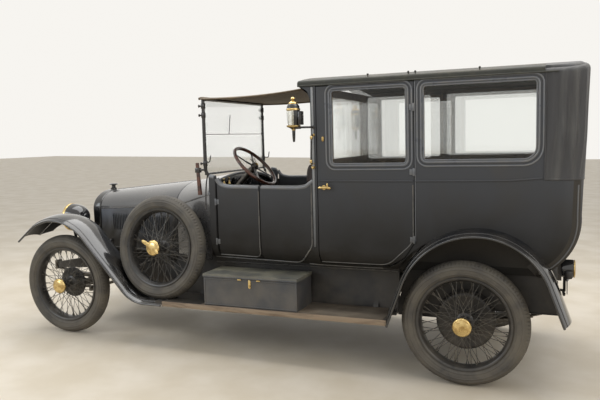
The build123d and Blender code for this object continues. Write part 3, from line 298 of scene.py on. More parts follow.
def slab(outline, low, high, bevel=0.002, steps=2):
    """A convex outline drawn from low to high along z, its two rims rounded by a quarter circle of bevel."""
    outline = np.asarray(outline, float)
    tangent = unit(np.roll(outline, -1, 0) - np.roll(outline, 1, 0))
    normal = np.stack([tangent[:, 1], -tangent[:, 0]], -1)
    if ((outline - outline.mean(0)) * normal).sum() < 0:
        normal = -normal
    turn = np.linspace(0, pi / 2, steps + 1)
    inset = bevel * (1 - np.sin(turn))
    rise = bevel * (1 - np.cos(turn))
    inset = np.concatenate([inset, inset[::-1]])[:, None, None]
    level = np.concatenate([low + rise, high - rise[::-1]])
    flat = outline[None] - normal * inset
    grid = np.concatenate([flat, np.broadcast_to(level[:, None, None], (*flat.shape[:2], 1))], -1)
    return outward(skin(grid, loop_v=True, poles=ring_ends(grid)))


def block(low, high, bevel=0.003):
    """A box between two corners with every edge rounded by bevel."""
    low, high = np.asarray(low, float), np.asarray(high, float)
    size = high - low
    points, quads, tris = slab(oblong(size[0], size[1], bevel, 2), low[2], high[2], bevel)
    return points + ((low + high) / 2 * (1, 1, 0)), quads, tris


# Node groups
class Value:
    """A node's output. Its sums, differences and products are Math nodes of the same tree."""

    def __init__(self, socket):
        self.socket, self.tree = socket, socket.id_data

    def __add__(self, other):
        return calc("ADD", self, other)

    def __radd__(self, other):
        return calc("ADD", other, self)

    def __sub__(self, other):
        return calc("SUBTRACT", self, other)

    def __rsub__(self, other):
        return calc("SUBTRACT", other, self)

    def __mul__(self, other):
        return calc("MULTIPLY", self, other)

    def held(self):
        """The same value, kept from 0 to 1."""
        self.socket.node.use_clamp = True
        return self


def feed(value, socket):
    """A link where value is a node's output, and a plain value otherwise."""
    if isinstance(value, Value):
        value.tree.links.new(value.socket, socket)
    else:
        socket.default_value = value


def new_node(tree, kind, inputs=None, **settings):
    """A node with its settings, and its inputs fed by name or number."""
    new = tree.nodes.new("ShaderNode" + kind)
    for label, setting in settings.items():
        setattr(new, label, setting)
    for key, value in (inputs or {}).items():
        feed(value, new.inputs[key])
    return new


def calc(operation, *values):
    """One Math node, in the tree of the first value that has one."""
    tree = next(value.tree for value in values if isinstance(value, Value))
    return Value(new_node(tree, "Math", dict(enumerate(values)), operation=operation).outputs[0])


def blended(share, first, second):
    """first and second colour mixed by share."""
    return Value(new_node(share.tree, "Mix", {0: share, 6: first, 7: second}, data_type="RGBA").outputs[2])


def between(value, low, high):
    """0 below low, 1 above high, smooth between them."""
    inputs = {0: value, 1: low, 2: high}
    return Value(new_node(value.tree, "MapRange", inputs, interpolation_type="SMOOTHSTEP").outputs[0])


def stretched(tree, x=1, y=1, z=1):
    """Object coordinates multiplied by one factor along each axis."""
    place = Value(new_node(tree, "TexCoord").outputs["Object"])
    return Value(new_node(tree, "Mapping", {"Vector": place, "Scale": (x, y, z)}).outputs[0])


def noise(place, scale, detail=4.0, distortion=0.0):
    """Noise from 0 to 1 at a place."""
    inputs = {"Vector": place, "Scale": scale, "Detail": detail, "Distortion": distortion}
    return Value(new_node(place.tree, "TexNoise", inputs).outputs[0])


def parted(place):
    """The x, y and z of a place."""
    return [Value(output) for output in new_node(place.tree, "SeparateXYZ", {0: place}).outputs]


def effect(name, second, **values):
    """A new node group with two colours, a dust colour and plain inputs: its tree and its inputs."""
    tree = bpy.data.node_groups.new(name, "ShaderNodeTree")

    def add(label, way, kind="Color"):
        """One input or output of the group."""
        return tree.interface.new_socket(label, in_out=way, socket_type="NodeSocket" + kind)

    for label in ("Color", second + " Color"):
        add(label, "INPUT")
    add("Dust Color", "INPUT").default_value = (0.24, 0.2, 0.15, 1)
    for label, value in values.items():
        add(label, "INPUT", "Float").default_value = value
    for label, kind in (("Color", "Color"), ("Roughness", "Float"), ("Height", "Float")):
        add(label, "OUTPUT", kind)
    return tree, {output.name: Value(output) for output in tree.nodes.new("NodeGroupInput").outputs}


def settled(into, colour, rough, height):
    """The end of every effect. Dust lies on faces that look up and on low places: its share grows with the
    normal's height and falls with z."""
    tree = rough.tree
    place = stretched(tree)
    upward = between(parted(Value(new_node(tree, "NewGeometry").outputs["Normal"]))[2], 0.1, 1.0)
    low = 1.0 - between(parted(place)[2], 0.25, 1.15)
    patches = between(noise(place, 5.0, 6.0), 0.3, 0.75)
    share = (calc("MAXIMUM", upward, low) * patches * into["Dust"]).held()
    out = tree.nodes.new("NodeGroupOutput").inputs
    feed(blended(share, colour, into["Dust Color"]), out["Color"])
    feed((rough + share * 0.35).held(), out["Roughness"])
    feed(height, out["Height"])
    return tree


def paint_effect():
    """Old paint: cloudy stains, brush-fine relief, hairline scratches, dust, and painted shade that darkens
    the colour with depth below the waist."""
    tree, into = effect("old_paint", "Stain", Scale=4.0, Stain=0.5, Dust=0.3, Grime=0.0, Roughness=0.4)
    place = stretched(tree)
    clouds = noise(place, into["Scale"], 6.0, 0.4)
    fine = noise(stretched(tree, 0.35), 160.0, 3.0)
    hair = noise(stretched(tree, 0.05), 240.0, 2.0)
    stain = between(clouds, 0.4, 0.72) * into["Stain"]
    scratch = between(hair, 0.66, 0.74) * 0.35
    colour = blended(scratch, blended(stain, into["Color"], into["Stain Color"]), into["Stain Color"])
    # Painted shade: the colour darkens towards the bottom, from z 1.72 down to 0.75, by the share set on the
    # group
    depth = (1.0 - between(parted(place)[2], 0.75, 1.72)) * (0.75 + clouds * 0.5)
    painted_shade = (depth * into["Grime"]).held()
    colour = blended(painted_shade, colour, (0.008, 0.0065, 0.0045, 1))
    rough = (into["Roughness"] + (clouds - 0.5) * 0.22 + painted_shade * 0.3).held()
    return settled(into, colour, rough, fine + clouds * 1.5)


def leather_effect(name, hang):
    """Grained leather: cells whose borders sink, over slow creases, paler on the creases: rubbed wear, and on
    hanging leather painted shading of its folds. The creases run upright where hang, their scale along z, is
    small."""
    tree, into = effect(name, "Rubbed", Scale=260.0, Rubbed=0.5, Dust=0.25, Roughness=0.55)
    inputs = {"Vector": stretched(tree), "Scale": into["Scale"]}
    cells = new_node(tree, "TexVoronoi", inputs, feature="DISTANCE_TO_EDGE")
    grain = between(Value(cells.outputs["Distance"]), 0.0, 0.22)
    creases = noise(stretched(tree, z=hang), 16.0, 4.0, 0.3)
    # Paler patches on the creases: rubbed wear, and where they run upright painted light and shade of folds
    rubbed_and_fold_shading = between(creases, 0.45, 0.75) * into["Rubbed"]
    return settled(into, blended(rubbed_and_fold_shading, into["Color"], into["Rubbed Color"]),
                   into["Roughness"] + (creases - 0.5) * 0.3, grain + creases * 3.0)


def wood_effect():
    """Varnished wood: noise drawn out along x gives the figure, finer noise the pores."""
    tree, into = effect("wood_grain", "Dark", Scale=22.0, Dust=0.15, Roughness=0.35)
    figure = noise(stretched(tree, 0.12), into["Scale"], 5.0, 1.5)
    pores = noise(stretched(tree, 0.04), 300.0, 2.0)
    share = (between(figure, 0.38, 0.62) + pores * 0.3).held()
    return settled(into, blended(share, into["Dark Color"], into["Color"]), into["Roughness"] + pores * 0.15,
                   pores + figure)


def metal_effect():
    """Bare metal: bright where it is handled, tarnished in slow patches and fine pits."""
    tree, into = effect("tarnish", "Tarnish", Scale=30.0, Tarnish=0.6, Dust=0.1, Roughness=0.2)
    place = stretched(tree)
    patches = noise(place, into["Scale"], 6.0, 0.5)
    pits = noise(place, 420.0, 2.0)
    share = between(patches, 0.4, 0.7) * into["Tarnish"]
    colour = blended(share, into["Color"], into["Tarnish Color"])
    return settled(into, colour, into["Roughness"] + share * 0.3, pits + patches)


def rubber_effect():
    """Aged rubber: a brown bloom in patches over grey-black, with fine chalking."""
    tree, into = effect("aged_rubber", "Bloom", Scale=9.0, Bloom=0.8, Dust=0.45, Roughness=0.75)
    place = stretched(tree)
    patches = noise(place, into["Scale"], 7.0, 0.3)
    chalk = noise(place, 190.0, 4.0)
    share = between(patches + chalk * 0.25, 0.4, 0.8) * into["Bloom"]
    colour = blended(share, into["Color"], into["Bloom Color"])
    return settled(into, colour, into["Roughness"], chalk + patches)


def ribbed_effect():
    """Rubbed floor covering: fine ribs along the car, a sine of y, worn to the backing in patches."""
    tree, into = effect("ribbed_cover", "Worn", Scale=7.0, Dust=0.5, Roughness=0.8)
    rib = calc("SINE", parted(stretched(tree))[1] * 620.0)
    patches = noise(stretched(tree, 0.5), into["Scale"], 6.0)
    share = between(patches + rib * 0.06, 0.42, 0.66)
    return settled(into, blended(share, into["Color"], into["Worn Color"]), into["Roughness"], rib + patches)


def fins_effect():
    """Radiator fins: upright tubes as a sine of y and thin fins as a sine of z, with painted shade where both
    sink.
    """
    tree, into = effect("fins", "Gap", Dust=0.1, Roughness=0.4)
    _, y, z = parted(stretched(tree))
    height = calc("MAXIMUM", calc("SINE", y * 560.0), calc("SINE", z * 900.0) * 0.6)
    # Painted shade: the relief's low places take the dark gap colour
    share = between(height + noise(stretched(tree), 11.0, 4.0), 0.1, 1.3)
    return settled(into, blended(share, into["Gap Color"], into["Color"]), into["Roughness"], height)


# Materials
finishes = {}


def rgb(code):
    """A colour written as six hexadecimal digits of sRGB, as linear values."""
    parts = np.array([int(code[k:k + 2], 16) for k in (0, 2, 4)]) / 255
    linear = np.where(parts <= 0.04045, parts / 12.92, ((parts + 0.055) / 1.055) ** 2.4)
    return (*[float(part) for part in linear], 1.0)


def new_material(name, slot):
    """An empty material with a Principled shader, kept with its slot under its name."""
    material = bpy.data.materials.new(name)
    material.use_nodes = True
    tree = material.node_tree
    tree.nodes.clear()
    shader = new_node(tree, "BsdfPrincipled")
    new_node(tree, "OutputMaterial", {0: Value(shader.outputs[0])})
    finishes[name] = (material, slot)
    return tree, shader


def finish(name, slot, group, relief, values):
    """A material whose colour, roughness and relief come from one effect. Values whose label the effect lacks
    sit on the shader, texts are colours, and None leaves the first value as it is."""
    tree, shader = new_material(name, slot)
    made = new_node(tree, "Group", node_tree=group)
    for label, value in values.items():
        if value is not None:
            inputs = made.inputs if label in made.inputs else shader.inputs
            inputs[label].default_value = rgb(value) if isinstance(value, str) else value
    feed(Value(made.outputs["Color"]), shader.inputs["Base Color"])
    feed(Value(made.outputs["Roughness"]), shader.inputs["Roughness"])
    if relief:
        bump = new_node(tree, "Bump", {"Distance": relief, "Height": Value(made.outputs["Height"])})
        feed(Value(bump.outputs[0]), shader.inputs["Normal"])
    return tree, shader, made


def glass(name, slot, tint, alpha, rough=0.02):
    """Clear glass, let through by transmission and thinned by alpha."""
    tree, shader = new_material(name, slot)
    smears = between(noise(stretched(tree), 6.0, 5.0), 0.45, 0.8)
    values = {"Transmission Weight": 1.0, "IOR": 1.45, "Alpha": alpha, "Base Color": rgb(tint),
              "Roughness": rough + smears * 0.06}
    for label, value in values.items():
        feed(value, shader.inputs[label])


# Each table: an effect, the labels of its columns after name, slot and relief in metres, and the rows
paint = paint_effect()
paint_labels = ("Color", "Stain Color", "Scale", "Stain", "Dust", "Grime", "Roughness", "Coat Weight",
                "Coat Roughness", "IOR", "Specular IOR Level", "Dust Color")
leather_labels = ("Color", "Rubbed Color", "Scale", "Rubbed", "Dust", "Roughness")
# The coach paint's share of painted shade, 0.95, darkens it strongly towards the bottom
coach = (0.0002, "434549", "4a4845", 3, 0.5, 0.08, 0.95, 0.44, None, None, None, 0.34)
tables = (
    (paint, paint_labels, (
        ("coach_paint", "coach_paint", *coach),
        ("bonnet_paint", "coach_paint", 0.00012, "242529", "33312f", 4, 0.5, 0.1, 0, 0.24, 1, 0.1, 1.8),
        # The bonnet's side leaves: a pale colour as a painted reflection of the bright wall, darkened towards
        # the bottom by full painted shade
        ("leaf_reflection_paint", "coach_paint", 0.00012, "c6cad4", "b4b4b2", 4, 0.5, 0.03, 1, 0.14, 0.2, 0.1),
        ("louvre_paint", "coach_paint", 0.0001, "303236", "4d4c49", 8, 0.5, 0.1, 0, 0.3, 0.3, 0.12),
        ("moulding_paint", "coach_paint", 0.0001, "66696e", "777570", 12, 0.6, 0.15, 0.5, 0.3, 0.3, 0.15),
        # A pale grey for the bead on the front pillar: a painted highlight
        ("pillar_highlight_paint", "coach_paint", 0.0001, "909395", "9a9996", 12, 0.6, 0.1, 0.8, 0.3),
        # A paler paint for beads and edges, with pale stains: painted highlights along them
        ("edge_highlight_paint", "coach_paint", 0.0001, "504f4d", "6a665f", 20, 0.8, 0.2, 0, 0.3),
        ("fender_enamel", "fender_enamel", 0.0001, "131519", "24221f", 5, 0.5, 0.14, 0, 0.16, 0.9, 0.06),
        ("chassis_paint", "chassis_paint", 0.0003, "1a1a1b", "2b2723", 9, 0.8, 0.3, 0, 0.5),
        # Under the fenders: a darker, matt copy of the chassis paint, as painted shade
        ("liner_paint", "chassis_paint", 0.0003, "0f0f10", "1e1b19", 9, 0.7, 0.1, 0, 0.55),
        ("wheel_paint", "wheel_paint", 0.0002, "252526", "45413b", 14, 0.6, 0.2, 0, 0.3),
        ("spoke_paint", "wheel_paint", 0, "2e2d2b", "6b6458", 30, 0.7, 0.25, 0, 0.35),
        ("box_paint", "box_paint", 0.0003, "404246", "4c4943", 6, 0.5, 0.35, 0, 0.34),
        ("lid_paint", "box_paint", 0.0003, "5c5c58", "6a665a", 6, 0.6, 1, 0, 0.4, None, None, None, None,
         "928d79"),
        ("screen_paint", "screen_paint", 0.0001, "242222", "3a3330", 25, 0.7, 0.15, 0, 0.25, 0.4, 0.1),
        ("radiator_metal", "radiator_metal", 0.0001, "1b1c1e", "2e2c2a", 6, 0.5, 0.1, 0, 0.18, 0.6, 0.06),
        ("lamp_metal", "lamp_metal", 0, "18191b", "2c2a28", 12, 0.4, 0.1, 0, 0.14, 0.8, 0.05),
        ("iron", "iron", 0.0006, "272522", "3d3328", 22, 0.9, 0.5, 0, 0.45))),
    (metal_effect(), ("Color", "Tarnish Color", "Scale", "Tarnish", "Dust", "Roughness", "Metallic"), (
        ("brass", "brass", 0.0001, "dcc287", "94733f", 26, 0.75, 0, 0.24, 1),
        ("steel", "steel", 0.0002, "6e6a64", "3b342d", 40, 0.9, 0.4, 0.4, 1),
        ("reflector", "brass", 0, "d8d8d4", "8f8a80", 18, 0.4, 0, 0.12, 1))),
    (fins_effect(), ("Color", "Gap Color", "Dust", "Roughness", "Metallic"), (
        ("core_metal", "core_metal", 0.0012, "7d6a4a", "1b1815", 0.1, 0.4, 0.8),)),
    (rubber_effect(), ("Color", "Bloom Color", "Roughness", "Dust", "Dust Color"), (
        ("tyre_rubber", "tyre_rubber", 0.0003, "403d3a", "5b564c", 0.6, 0.3, "7a7060"),)),
    (leather_effect("leather_grain", 1.0), leather_labels, (
        ("roof_cloth", "roof_cloth", 0.0004, "33342e", "4b4a3f", 420, 0.7, 0.3, 0.6),
        ("canopy_leather", "canopy_leather", 0.0004, "5b4b35", "7a6646", 360, 0.6, 0.2, 0.6),
        ("seat_leather", "seat_leather", 0.0006, "2e2420", "4f3d33", 280, 0.7, 0.1, 0.45))),
    # The hood's leather: creases drawn upright, their paler streaks painted light and shade of its folds
    (leather_effect("hanging_leather", 0.12), leather_labels, (
        ("hood_leather", "hood_leather", 0.0006, "39393b", "5a5956", 320, 0.8, 0.15, 0.38),)),
    (wood_effect(), ("Color", "Dark Color", "Roughness", "Scale", "Dust", "Coat Weight", "Coat Roughness"), (
        ("inner_wood", "inner_wood", 0.0002, "6a5640", "443423", 0.4),
        ("rim_wood", "inner_wood", 0.0001, "5a3527", "2a1811", 0.22, 30, 0, 0.5, 0.1),
        ("board_edge", "board_cover", 0.0003, "8f7c66", "6b5947", 0.5, None, 0.3))),
    (ribbed_effect(), ("Color", "Worn Color", "Dust"), (
        ("board_cover", "board_cover", 0.0008, "4f4538", "6f6150", 0.5),)),
)
for group, labels, rows in tables:
    for name, slot, relief, *values in rows:
        finish(name, slot, group, relief, dict(zip(labels, values)))
glass("glass", "glass", "f2f6f4", 0.45)
glass("lens", "lens", "f6f6f0", 0.6, 0.05)
glass("red_lens", "lens", "a01010", 0.9, 0.1)

# The inside of the body is trimmed in dark cloth: a box of the row frame picks those faces out
trim_half, trim_rear, trim_low = 0.676, -2.325, 0.83
tree, shader, made = finish("lined_paint", "coach_paint", paint, coach[0], dict(zip(paint_labels, coach[1:])))
x, y, z = parted(stretched(tree))
trim = calc("LESS_THAN", calc("ABSOLUTE", y), trim_half) * calc("GREATER_THAN", x, trim_rear)
trim = trim * calc("GREATER_THAN", z, trim_low)
cloth = blended(noise(stretched(tree), 320.0, 3.0), rgb("2a2825"), rgb("4a4640"))
feed(blended(trim, Value(made.outputs["Color"]), cloth), shader.inputs["Base Color"])
feed((Value(made.outputs["Roughness"]) + trim * 0.4).held(), shader.inputs["Roughness"])


# Pieces
def make(name, shape, finish_name, body="chassis", replaces=(), level=True, angle=38):
    """A piece from a shape, smooth but for edges sharper than angle, riding on its body."""
    points, quads, tris = shape
    points = stand(points) if level else points
    mesh = bpy.data.meshes.new(name)
    mesh.vertices.add(len(points))
    mesh.vertices.foreach_set("co", np.asarray(points, np.float32).ravel())
    mesh.loops.add(quads.size + tris.size)
    mesh.loops.foreach_set("vertex_index", np.concatenate([quads.ravel(), tris.ravel()]).astype(np.int32))
    mesh.polygons.add(len(quads) + len(tris))
    starts = np.concatenate([np.arange(len(quads)) * 4, quads.size + np.arange(len(tris)) * 3])
    mesh.polygons.foreach_set("loop_start", starts.astype(np.int32))
    mesh.update(calc_edges=True)
    mesh.validate()
    mesh.polygons.foreach_set("use_smooth", np.ones(len(mesh.polygons), bool))
    mesh.set_sharp_from_angle(angle=radians(angle))
    material, slot = finishes[finish_name]
    mesh.materials.append(material)
    piece = bpy.data.objects.new(name, mesh)
    bpy.context.scene.collection.objects.link(piece)
    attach(piece, body)
    if replaces:
        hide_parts(*replaces)
    return piece


def both(name, shape, finish_name, body="chassis", replaces=None, **more):
    """A piece on the car's left and its mirror on the right; body and replaces may name the side with {}."""
    for side, form in (("left", shape), ("right", other_side(shape))):
        nodes = [replaces.format(side)] if replaces else ()
        make(f"{name}_{side}", form, finish_name, body.format(side), nodes, **more)


# Wheels: drawn about z, with z along the axle outwards
def tyre():
    """A round section about a mean radius: h = w sin a, r = mean + t cos a. Thin rings stand on the
    sidewalls, grooves run round the tread, and every fourth step round cuts a notch in both shoulders."""
    half, deep, mean, steps = 0.0615, 0.062, 0.378, 400
    angles = np.linspace(-135, 135, 55)
    rings = np.array((66, 84, 113))
    edges = [sign * (rings + off) for sign in (-1, 1) for off in (-1.4, 0, 1.4)]
    angles = np.unique(np.concatenate([angles, *edges]))
    gap = np.abs(angles)[:, None]
    ridge = 0.0024 * np.exp(-((gap - rings) / 1.3) ** 2).sum(1)
    groove = 0.0035 * np.exp(-((gap - (8, 19)) / 2.2) ** 2).sum(1)
    notch = 0.006 * np.clip((gap[:, 0] - 22) / 6, 0, 1) * np.clip((52 - gap[:, 0]) / 6, 0, 1)
    cut = (np.arange(steps) % 4 == 3) * notch[:, None] + (groove - ridge)[:, None]
    lean = np.radians(angles)[:, None]
    radius = mean + (deep - cut) * np.cos(lean)
    height = (half - cut * (np.abs(lean) > 0.35)) * np.sin(lean)
    bore = np.array(((0.322, 0.042), (0.3185, 0.036), (0.3185, -0.036), (0.322, -0.042)))
    radius = np.concatenate([radius, np.repeat(bore[:, :1], steps, 1)])
    height = np.concatenate([np.broadcast_to(height, (len(lean), steps)), np.repeat(bore[:, 1:], steps, 1)])
    return outward(skin(polar(radius, full_circle(steps), height), loop_u=True, loop_v=True))


# Columns: radius at the hub, height at the hub, height at the rim, turn of the foot in degrees, spokes
lacing = ((0.05, 0.086, 0.013, 56, 12), (0.05, 0.086, 0.013, -56, 12),
          (0.061, -0.036, -0.012, 62, 24), (0.061, -0.036, -0.012, -62, 24))
rim_half = ((317.5, 41), (326.2, 45.5), (329.6, 48), (329.7, 50.5), (327.5, 52.2), (323.5, 51.5), (315, 49.2),
            (308.5, 42.5), (306, 33), (299.2, 25), (297.6, 18))
rim_profile = (*rim_half, *[(radius, -height) for radius, height in reversed(rim_half)])


def spokes():
    """Wires from hub to rim: each row's feet stand at even angles plus its turn, its heads at even angles."""
    feet, heads = [], []
    for row, (foot_radius, foot, head, turn, count) in enumerate(lacing):
        at = full_circle(count) + row / len(lacing) * 2 * pi / count
        start = at + radians(turn)
        feet.append(polar(foot_radius, start, foot))
        heads.append(polar(0.3, at, head))
    feet, heads = np.concatenate(feet), np.concatenate(heads)
    wires = rods(feet, heads, (0.0028, 0.0021, 0.0021, 0.0028), 6)
    nipples = rods(heads + (feet - heads) * 0.07, heads, (0.0036, 0.0046, 0.0046), 6)
    return joined(wires, nipples)


hub_shape = lathe((0, 66, 22.2, 66, 22.2, -48.5, 34, -48.5, 62, -47, 65, -44, 65, -29, 62, -25, 46, -20,
                   38, -8, 36, 0, 36, 64, 40, 71, 50, 77, 53, 80, 53, 93, 49, 97, 46, 104, 0, 104), 40)
cap_shape = lathe((0, 100, 56, 100, 61, 102, 61, 106, 65.5, 108, 66, 112, 66, 118, 64, 124, 58, 129, 52, 131,
                   50, 130.5, 47, 133, 30, 137, 14, 138.5, 0, 138.8), 48)
drum_shape = lathe((204, -112, 205, -110, 205, -100, 201, -98, 201, -80, 205, -78, 205, -64, 199, -55,
                    186, -49, 176, -49, 168, -53, 100, -53, 60, -49, 60, -58, 100, -62, 170, -64, 194, -74,
                    196, -112), 72, closed=True)
bolt = lathe((0, 0, 7.5, 0, 7.8, 2, 7.8, 6, 6.5, 8, 0, 8), 6)
front_drum_shape = lathe((134, -70, 134, -60, 129, -53.5, 120, -51.5, 70, -51.5, 64, -46.5, 64, -49.5,
                          69, -54.5, 120, -54.5, 129, -58.5, 131, -70), 60, closed=True)
drum_bolts = repeated(bolt, polar(0.082, full_circle(8), -0.055))
wheel_shape = joined(lathe(rim_profile, 120, closed=True), hub_shape)
tyre_shape, spoke_shape = tyre(), spokes()
# The spare's wing nut. Columns: along, out and half width, in millimetres
wing = np.array(((-82, 134, 4), (-72, 137, 13), (-55, 133, 17), (-30, 127, 13), (0, 125, 12), (40, 127, 13),
                 (78, 133, 17), (105, 138, 13), (120, 135, 4))) / 1000
wing_shape = sweep(gridded(wing[:, 0], 0, wing[:, 1]), wing[:, 2, None, None] * oblong(2, 0.9, 0.4, 3))


def wheel(name, tyre_name, body, origin, axis, level, rear=False, spare=False):
    """Tyre, painted rim and hub, drum, wires and brass cap at an axle's end."""
    def place(part, shape, finish_name, replaces=(), across=(1, 0, 0.35), **more):
        """One piece of the wheel, turned from the drawing onto its axle."""
        make(part, aimed(shape, origin, axis, across), finish_name, body, replaces, level=level, **more)

    place(tyre_name + "_tyre", tyre_shape, "tyre_rubber", (tyre_name,), angle=60)
    place(name + "_rim", wheel_shape, "wheel_paint", (name,))
    if not spare:
        place(name + "_drum", joined(drum_shape, drum_bolts) if rear else front_drum_shape, "chassis_paint")
    place(name + "_spokes", spoke_shape, "spoke_paint")
    place(name + "_cap", cap_shape, "brass")
    if spare:
        place(name + "_nut", wing_shape, "brass", across=(0.85, 0, 0.5))


for end, place in (("front", front_axle), ("rear", rear_axle)):
    for side, sign in (("left", 1), ("right", -1)):
        corner = end + "_" + side
        wheel("wheel_" + corner, "tyre_" + corner, "road_wheel_" + corner, np.array(place) * (1, sign, 1),
              (0, sign, 0), False, rear=end == "rear")
wheel("spare_wheel", "spare_tyre", "chassis", spare_spot, spare_axis, True, spare=True)


# Body sides
def half_width_at(x):
    """The body's half width in plan: even along the cabin, then straight in to the dash."""
    return np.interp(x, (cabin_front, dash_x), (body_half, front_half))


def flank(x, z):
    """The body's side at (x, z): its flat half width, rolled under by a quarter circle of radius roll within
    that distance of the bottom, the leaning rear and the rear bow. Gives points and normals."""
    def reach(x, z):
        """The half width at (x, z), by the distance to the nearest edge of the side view."""
        inside = z - body_bottom
        behind = x - rear_x + rear_lean * (z - bow_top)
        bow = bow_radius - np.hypot(x - bow_centre[0], z - bow_centre[1])
        low_rear = (x < bow_centre[0]) & (z < bow_centre[1])
        inside = np.minimum(inside, np.where(low_rear, bow, behind))
        under = np.clip(roll - inside, 0, roll)
        return half_width_at(x) - roll + np.sqrt(np.maximum(roll**2 - under**2, 0))

    step = 0.0015
    slope_x = (reach(x + step, z) - reach(x - step, z)) / (2 * step)
    slope_z = (reach(x, z + step) - reach(x, z - step)) / (2 * step)
    return gridded(x, reach(x, z), z), unit(gridded(-slope_x, 1, -slope_z))


def half_round(width, height):
    """The section of a moulding: half an ellipse standing on a foot sunk below the surface."""
    turn = np.linspace(0, pi, 9)
    arch = gridded(width / 2 * np.cos(turn), height * np.sin(turn))
    return np.concatenate([arch, ((-width / 2, -0.004), (width / 2, -0.004))])


def bead(line, width=0.012, height=0.005, step=0.02, closed=False):
    """A half-round moulding laid along an (x, z) line on the body's side."""
    line = spaced(line, step)
    points, normal = flank(line[:, 0], line[:, 1])
    if closed:
        points, normal = points[:-1], normal[:-1]
    return sweep(points, half_round(width, height), normal, closed)


# Windows: inner bead and outer bead round each opening, and the wood frame behind the glass edge
windows = (("rear_door_{}", "door_window", (0.392, 0.96, 1.545, 2.094), 0.03),
           ("chassis", "quarter_window", (-0.47, 0.286, 1.565, 2.094), 0.09))
for body, name, (low_x, high_x, low_z, high_z), rear_radius in windows:
    corners = np.array(((high_x, low_z), (high_x, high_z), (low_x, high_z), (low_x, low_z)))
    radii = np.array((0.03, 0.03, 0.03, rear_radius))
    spread = np.sign(corners - corners.mean(0))
    for kind, grow, width, height in (("bead", 0.007, 0.014, 0.007), ("frame", 0.034, 0.012, 0.006)):
        line = rounded(corners + spread * grow, radii + grow, 6, closed=True)
        line = np.concatenate([line, line[:1]])
        both(f"{name}_{kind}", bead(line, width, height, closed=True), "moulding_paint", body)
    for kind, grow, depth, section, finish_name in (
            ("stop", -0.007, 0.008, oblong(0.012, 0.012, 0.003, 2), "moulding_paint"),
            ("inner_wood", 0.014, 0.038, oblong(0.05, 0.01, 0.004, 2), "inner_wood")):
        ring = rounded(corners + spread * grow, radii + grow, 5, closed=True)
        path = gridded(ring[:, 0], body_half - depth, ring[:, 1])
        both(f"{name}_{kind}", sweep(path, section, (0, 1, 0), closed=True), finish_name, body)

# Mouldings; the doors carry their own lengths. Columns: name, line, width, height, finish, body
rear_angle = np.radians(np.linspace(183, 245, 18))
rear_bow = polar(bow_radius - 0.03, rear_angle) + bow_centre
rear_line = np.concatenate([((-0.716, 1.4), (-0.712, 1.2)), rear_bow])
beads = (
    ("waist_bead_door", ((0.351, 1.426), (1.06, 1.426)), 0.014, 0.006, "coach_paint", "rear_door_{}"),
    ("waist_bead_rear", ((0.333, 1.426), (-0.3, 1.43), (-0.5, 1.446)), 0.014, 0.006, "coach_paint",
     "chassis"),
    # The door, sill, tub and front door beads take the paler paint of painted highlights
    ("door_edge_bead",
     rounded(((1.058, 0.811), (0.545, 0.811), (0.353, 0.99), (0.353, 1.4)), (0, 0.16, 0.12, 0), 10), 0.009,
     0.004, "edge_highlight_paint", "rear_door_{}"),
    ("sill_bead", rounded(((1.18, 0.779), (0.8, 0.772), (0.6, 0.776)), 0.4, 8), 0.011, 0.005, "edge_highlight_paint",
     "chassis"),
    ("tub_bead",
     rounded(((2.045, 0.785), (1.235, 0.785), (1.122, 0.93), (1.12, 1.4)), (0, 0.14, 0.11, 0), 10), 0.011,
     0.005, "edge_highlight_paint", "chassis"),
    # The pillar bead's pale grey is a painted highlight
    ("pillar_bead", ((1.098, 0.93), (1.098, 2.118)), 0.018, 0.009, "pillar_highlight_paint", "chassis"),
    ("front_door_bead", rounded(((1.975, 0.812), (1.583, 0.812), (1.583, 1.345)), (0, 0.055, 0), 8),
     0.009, 0.004, "edge_highlight_paint", "front_door_{}"),
    ("rear_post_bead", ((0.336, 1.0), (0.336, 2.118)), 0.007, 0.004, "moulding_paint", "chassis"),
    ("rear_bow_bead", rear_line, 0.012, 0.006, "moulding_paint", "chassis"),
)
for name, line, width, height, finish_name, body in beads:
    both(name, bead(line, width, height), finish_name, body)


def behind(height, gap=0.0):
    """The body's outline in plan at a height: straight sides, corner arcs of radius roll, leaning rear."""
    rear = rear_x - rear_lean * (height - bow_top) - gap
    half = body_half + gap
    corners = ((hood_front, half), (rear, half), (rear, -half), (hood_front, -half))
    return rounded(corners, (0, roll + gap, roll + gap, 0), 12)


belt = np.insert(spaced(behind(hood_waist), 0.02), 2, hood_waist - 0.006, axis=1)
belt_out = unit(np.cross(np.gradient(belt, axis=0), (0, 0, -1.0)))
belt_out *= np.sign((belt_out * (belt - (0, 0, hood_waist))).sum(1, keepdims=True))
make("hood_belt", sweep(belt, half_round(0.018, 0.006), belt_out), "hood_leather")


# Rebates: strips behind the doors' edges. Seams: thin strips sunk in the flank
def rebate(name, low, high, width):
    """A flat strip between two points, on both sides of the car."""
    both(name, sweep(spaced((low, high), 0.08), oblong(width, 0.01, 0.003, 2), (0, 1, 0)), "chassis_paint")


# Columns: x, y, foot, top, width
posts = ((0.342, 0.655, 0.86, 2.135, 0.06), (1.064, 0.652, 0.86, 2.135, 0.06),
         (1.585, 0.614, 0.83, 1.36, 0.045), (1.976, 0.577, 0.83, 1.36, 0.045))
for k, (x, y, low, high, width) in enumerate(posts):
    rebate(f"door_rebate_{k}", (x, y, low), (x, y, high), width)
for name, x, top, width in (("front", 1.9888, 1.42, 0.0038), ("rear", 1.5705, 1.345, 0.0025)):
    seam, seam_out = flank(x, np.linspace(0.815, top, 40))
    sunk = sweep(seam - seam_out * 0.014, oblong(width, 0.02, 0.001, 1), seam_out)
    both(f"door_seam_{name}", sunk, "coach_paint")
rebate("door_head_rebate", (0.33, 0.655, 2.122), (1.08, 0.655, 2.122), 0.036)

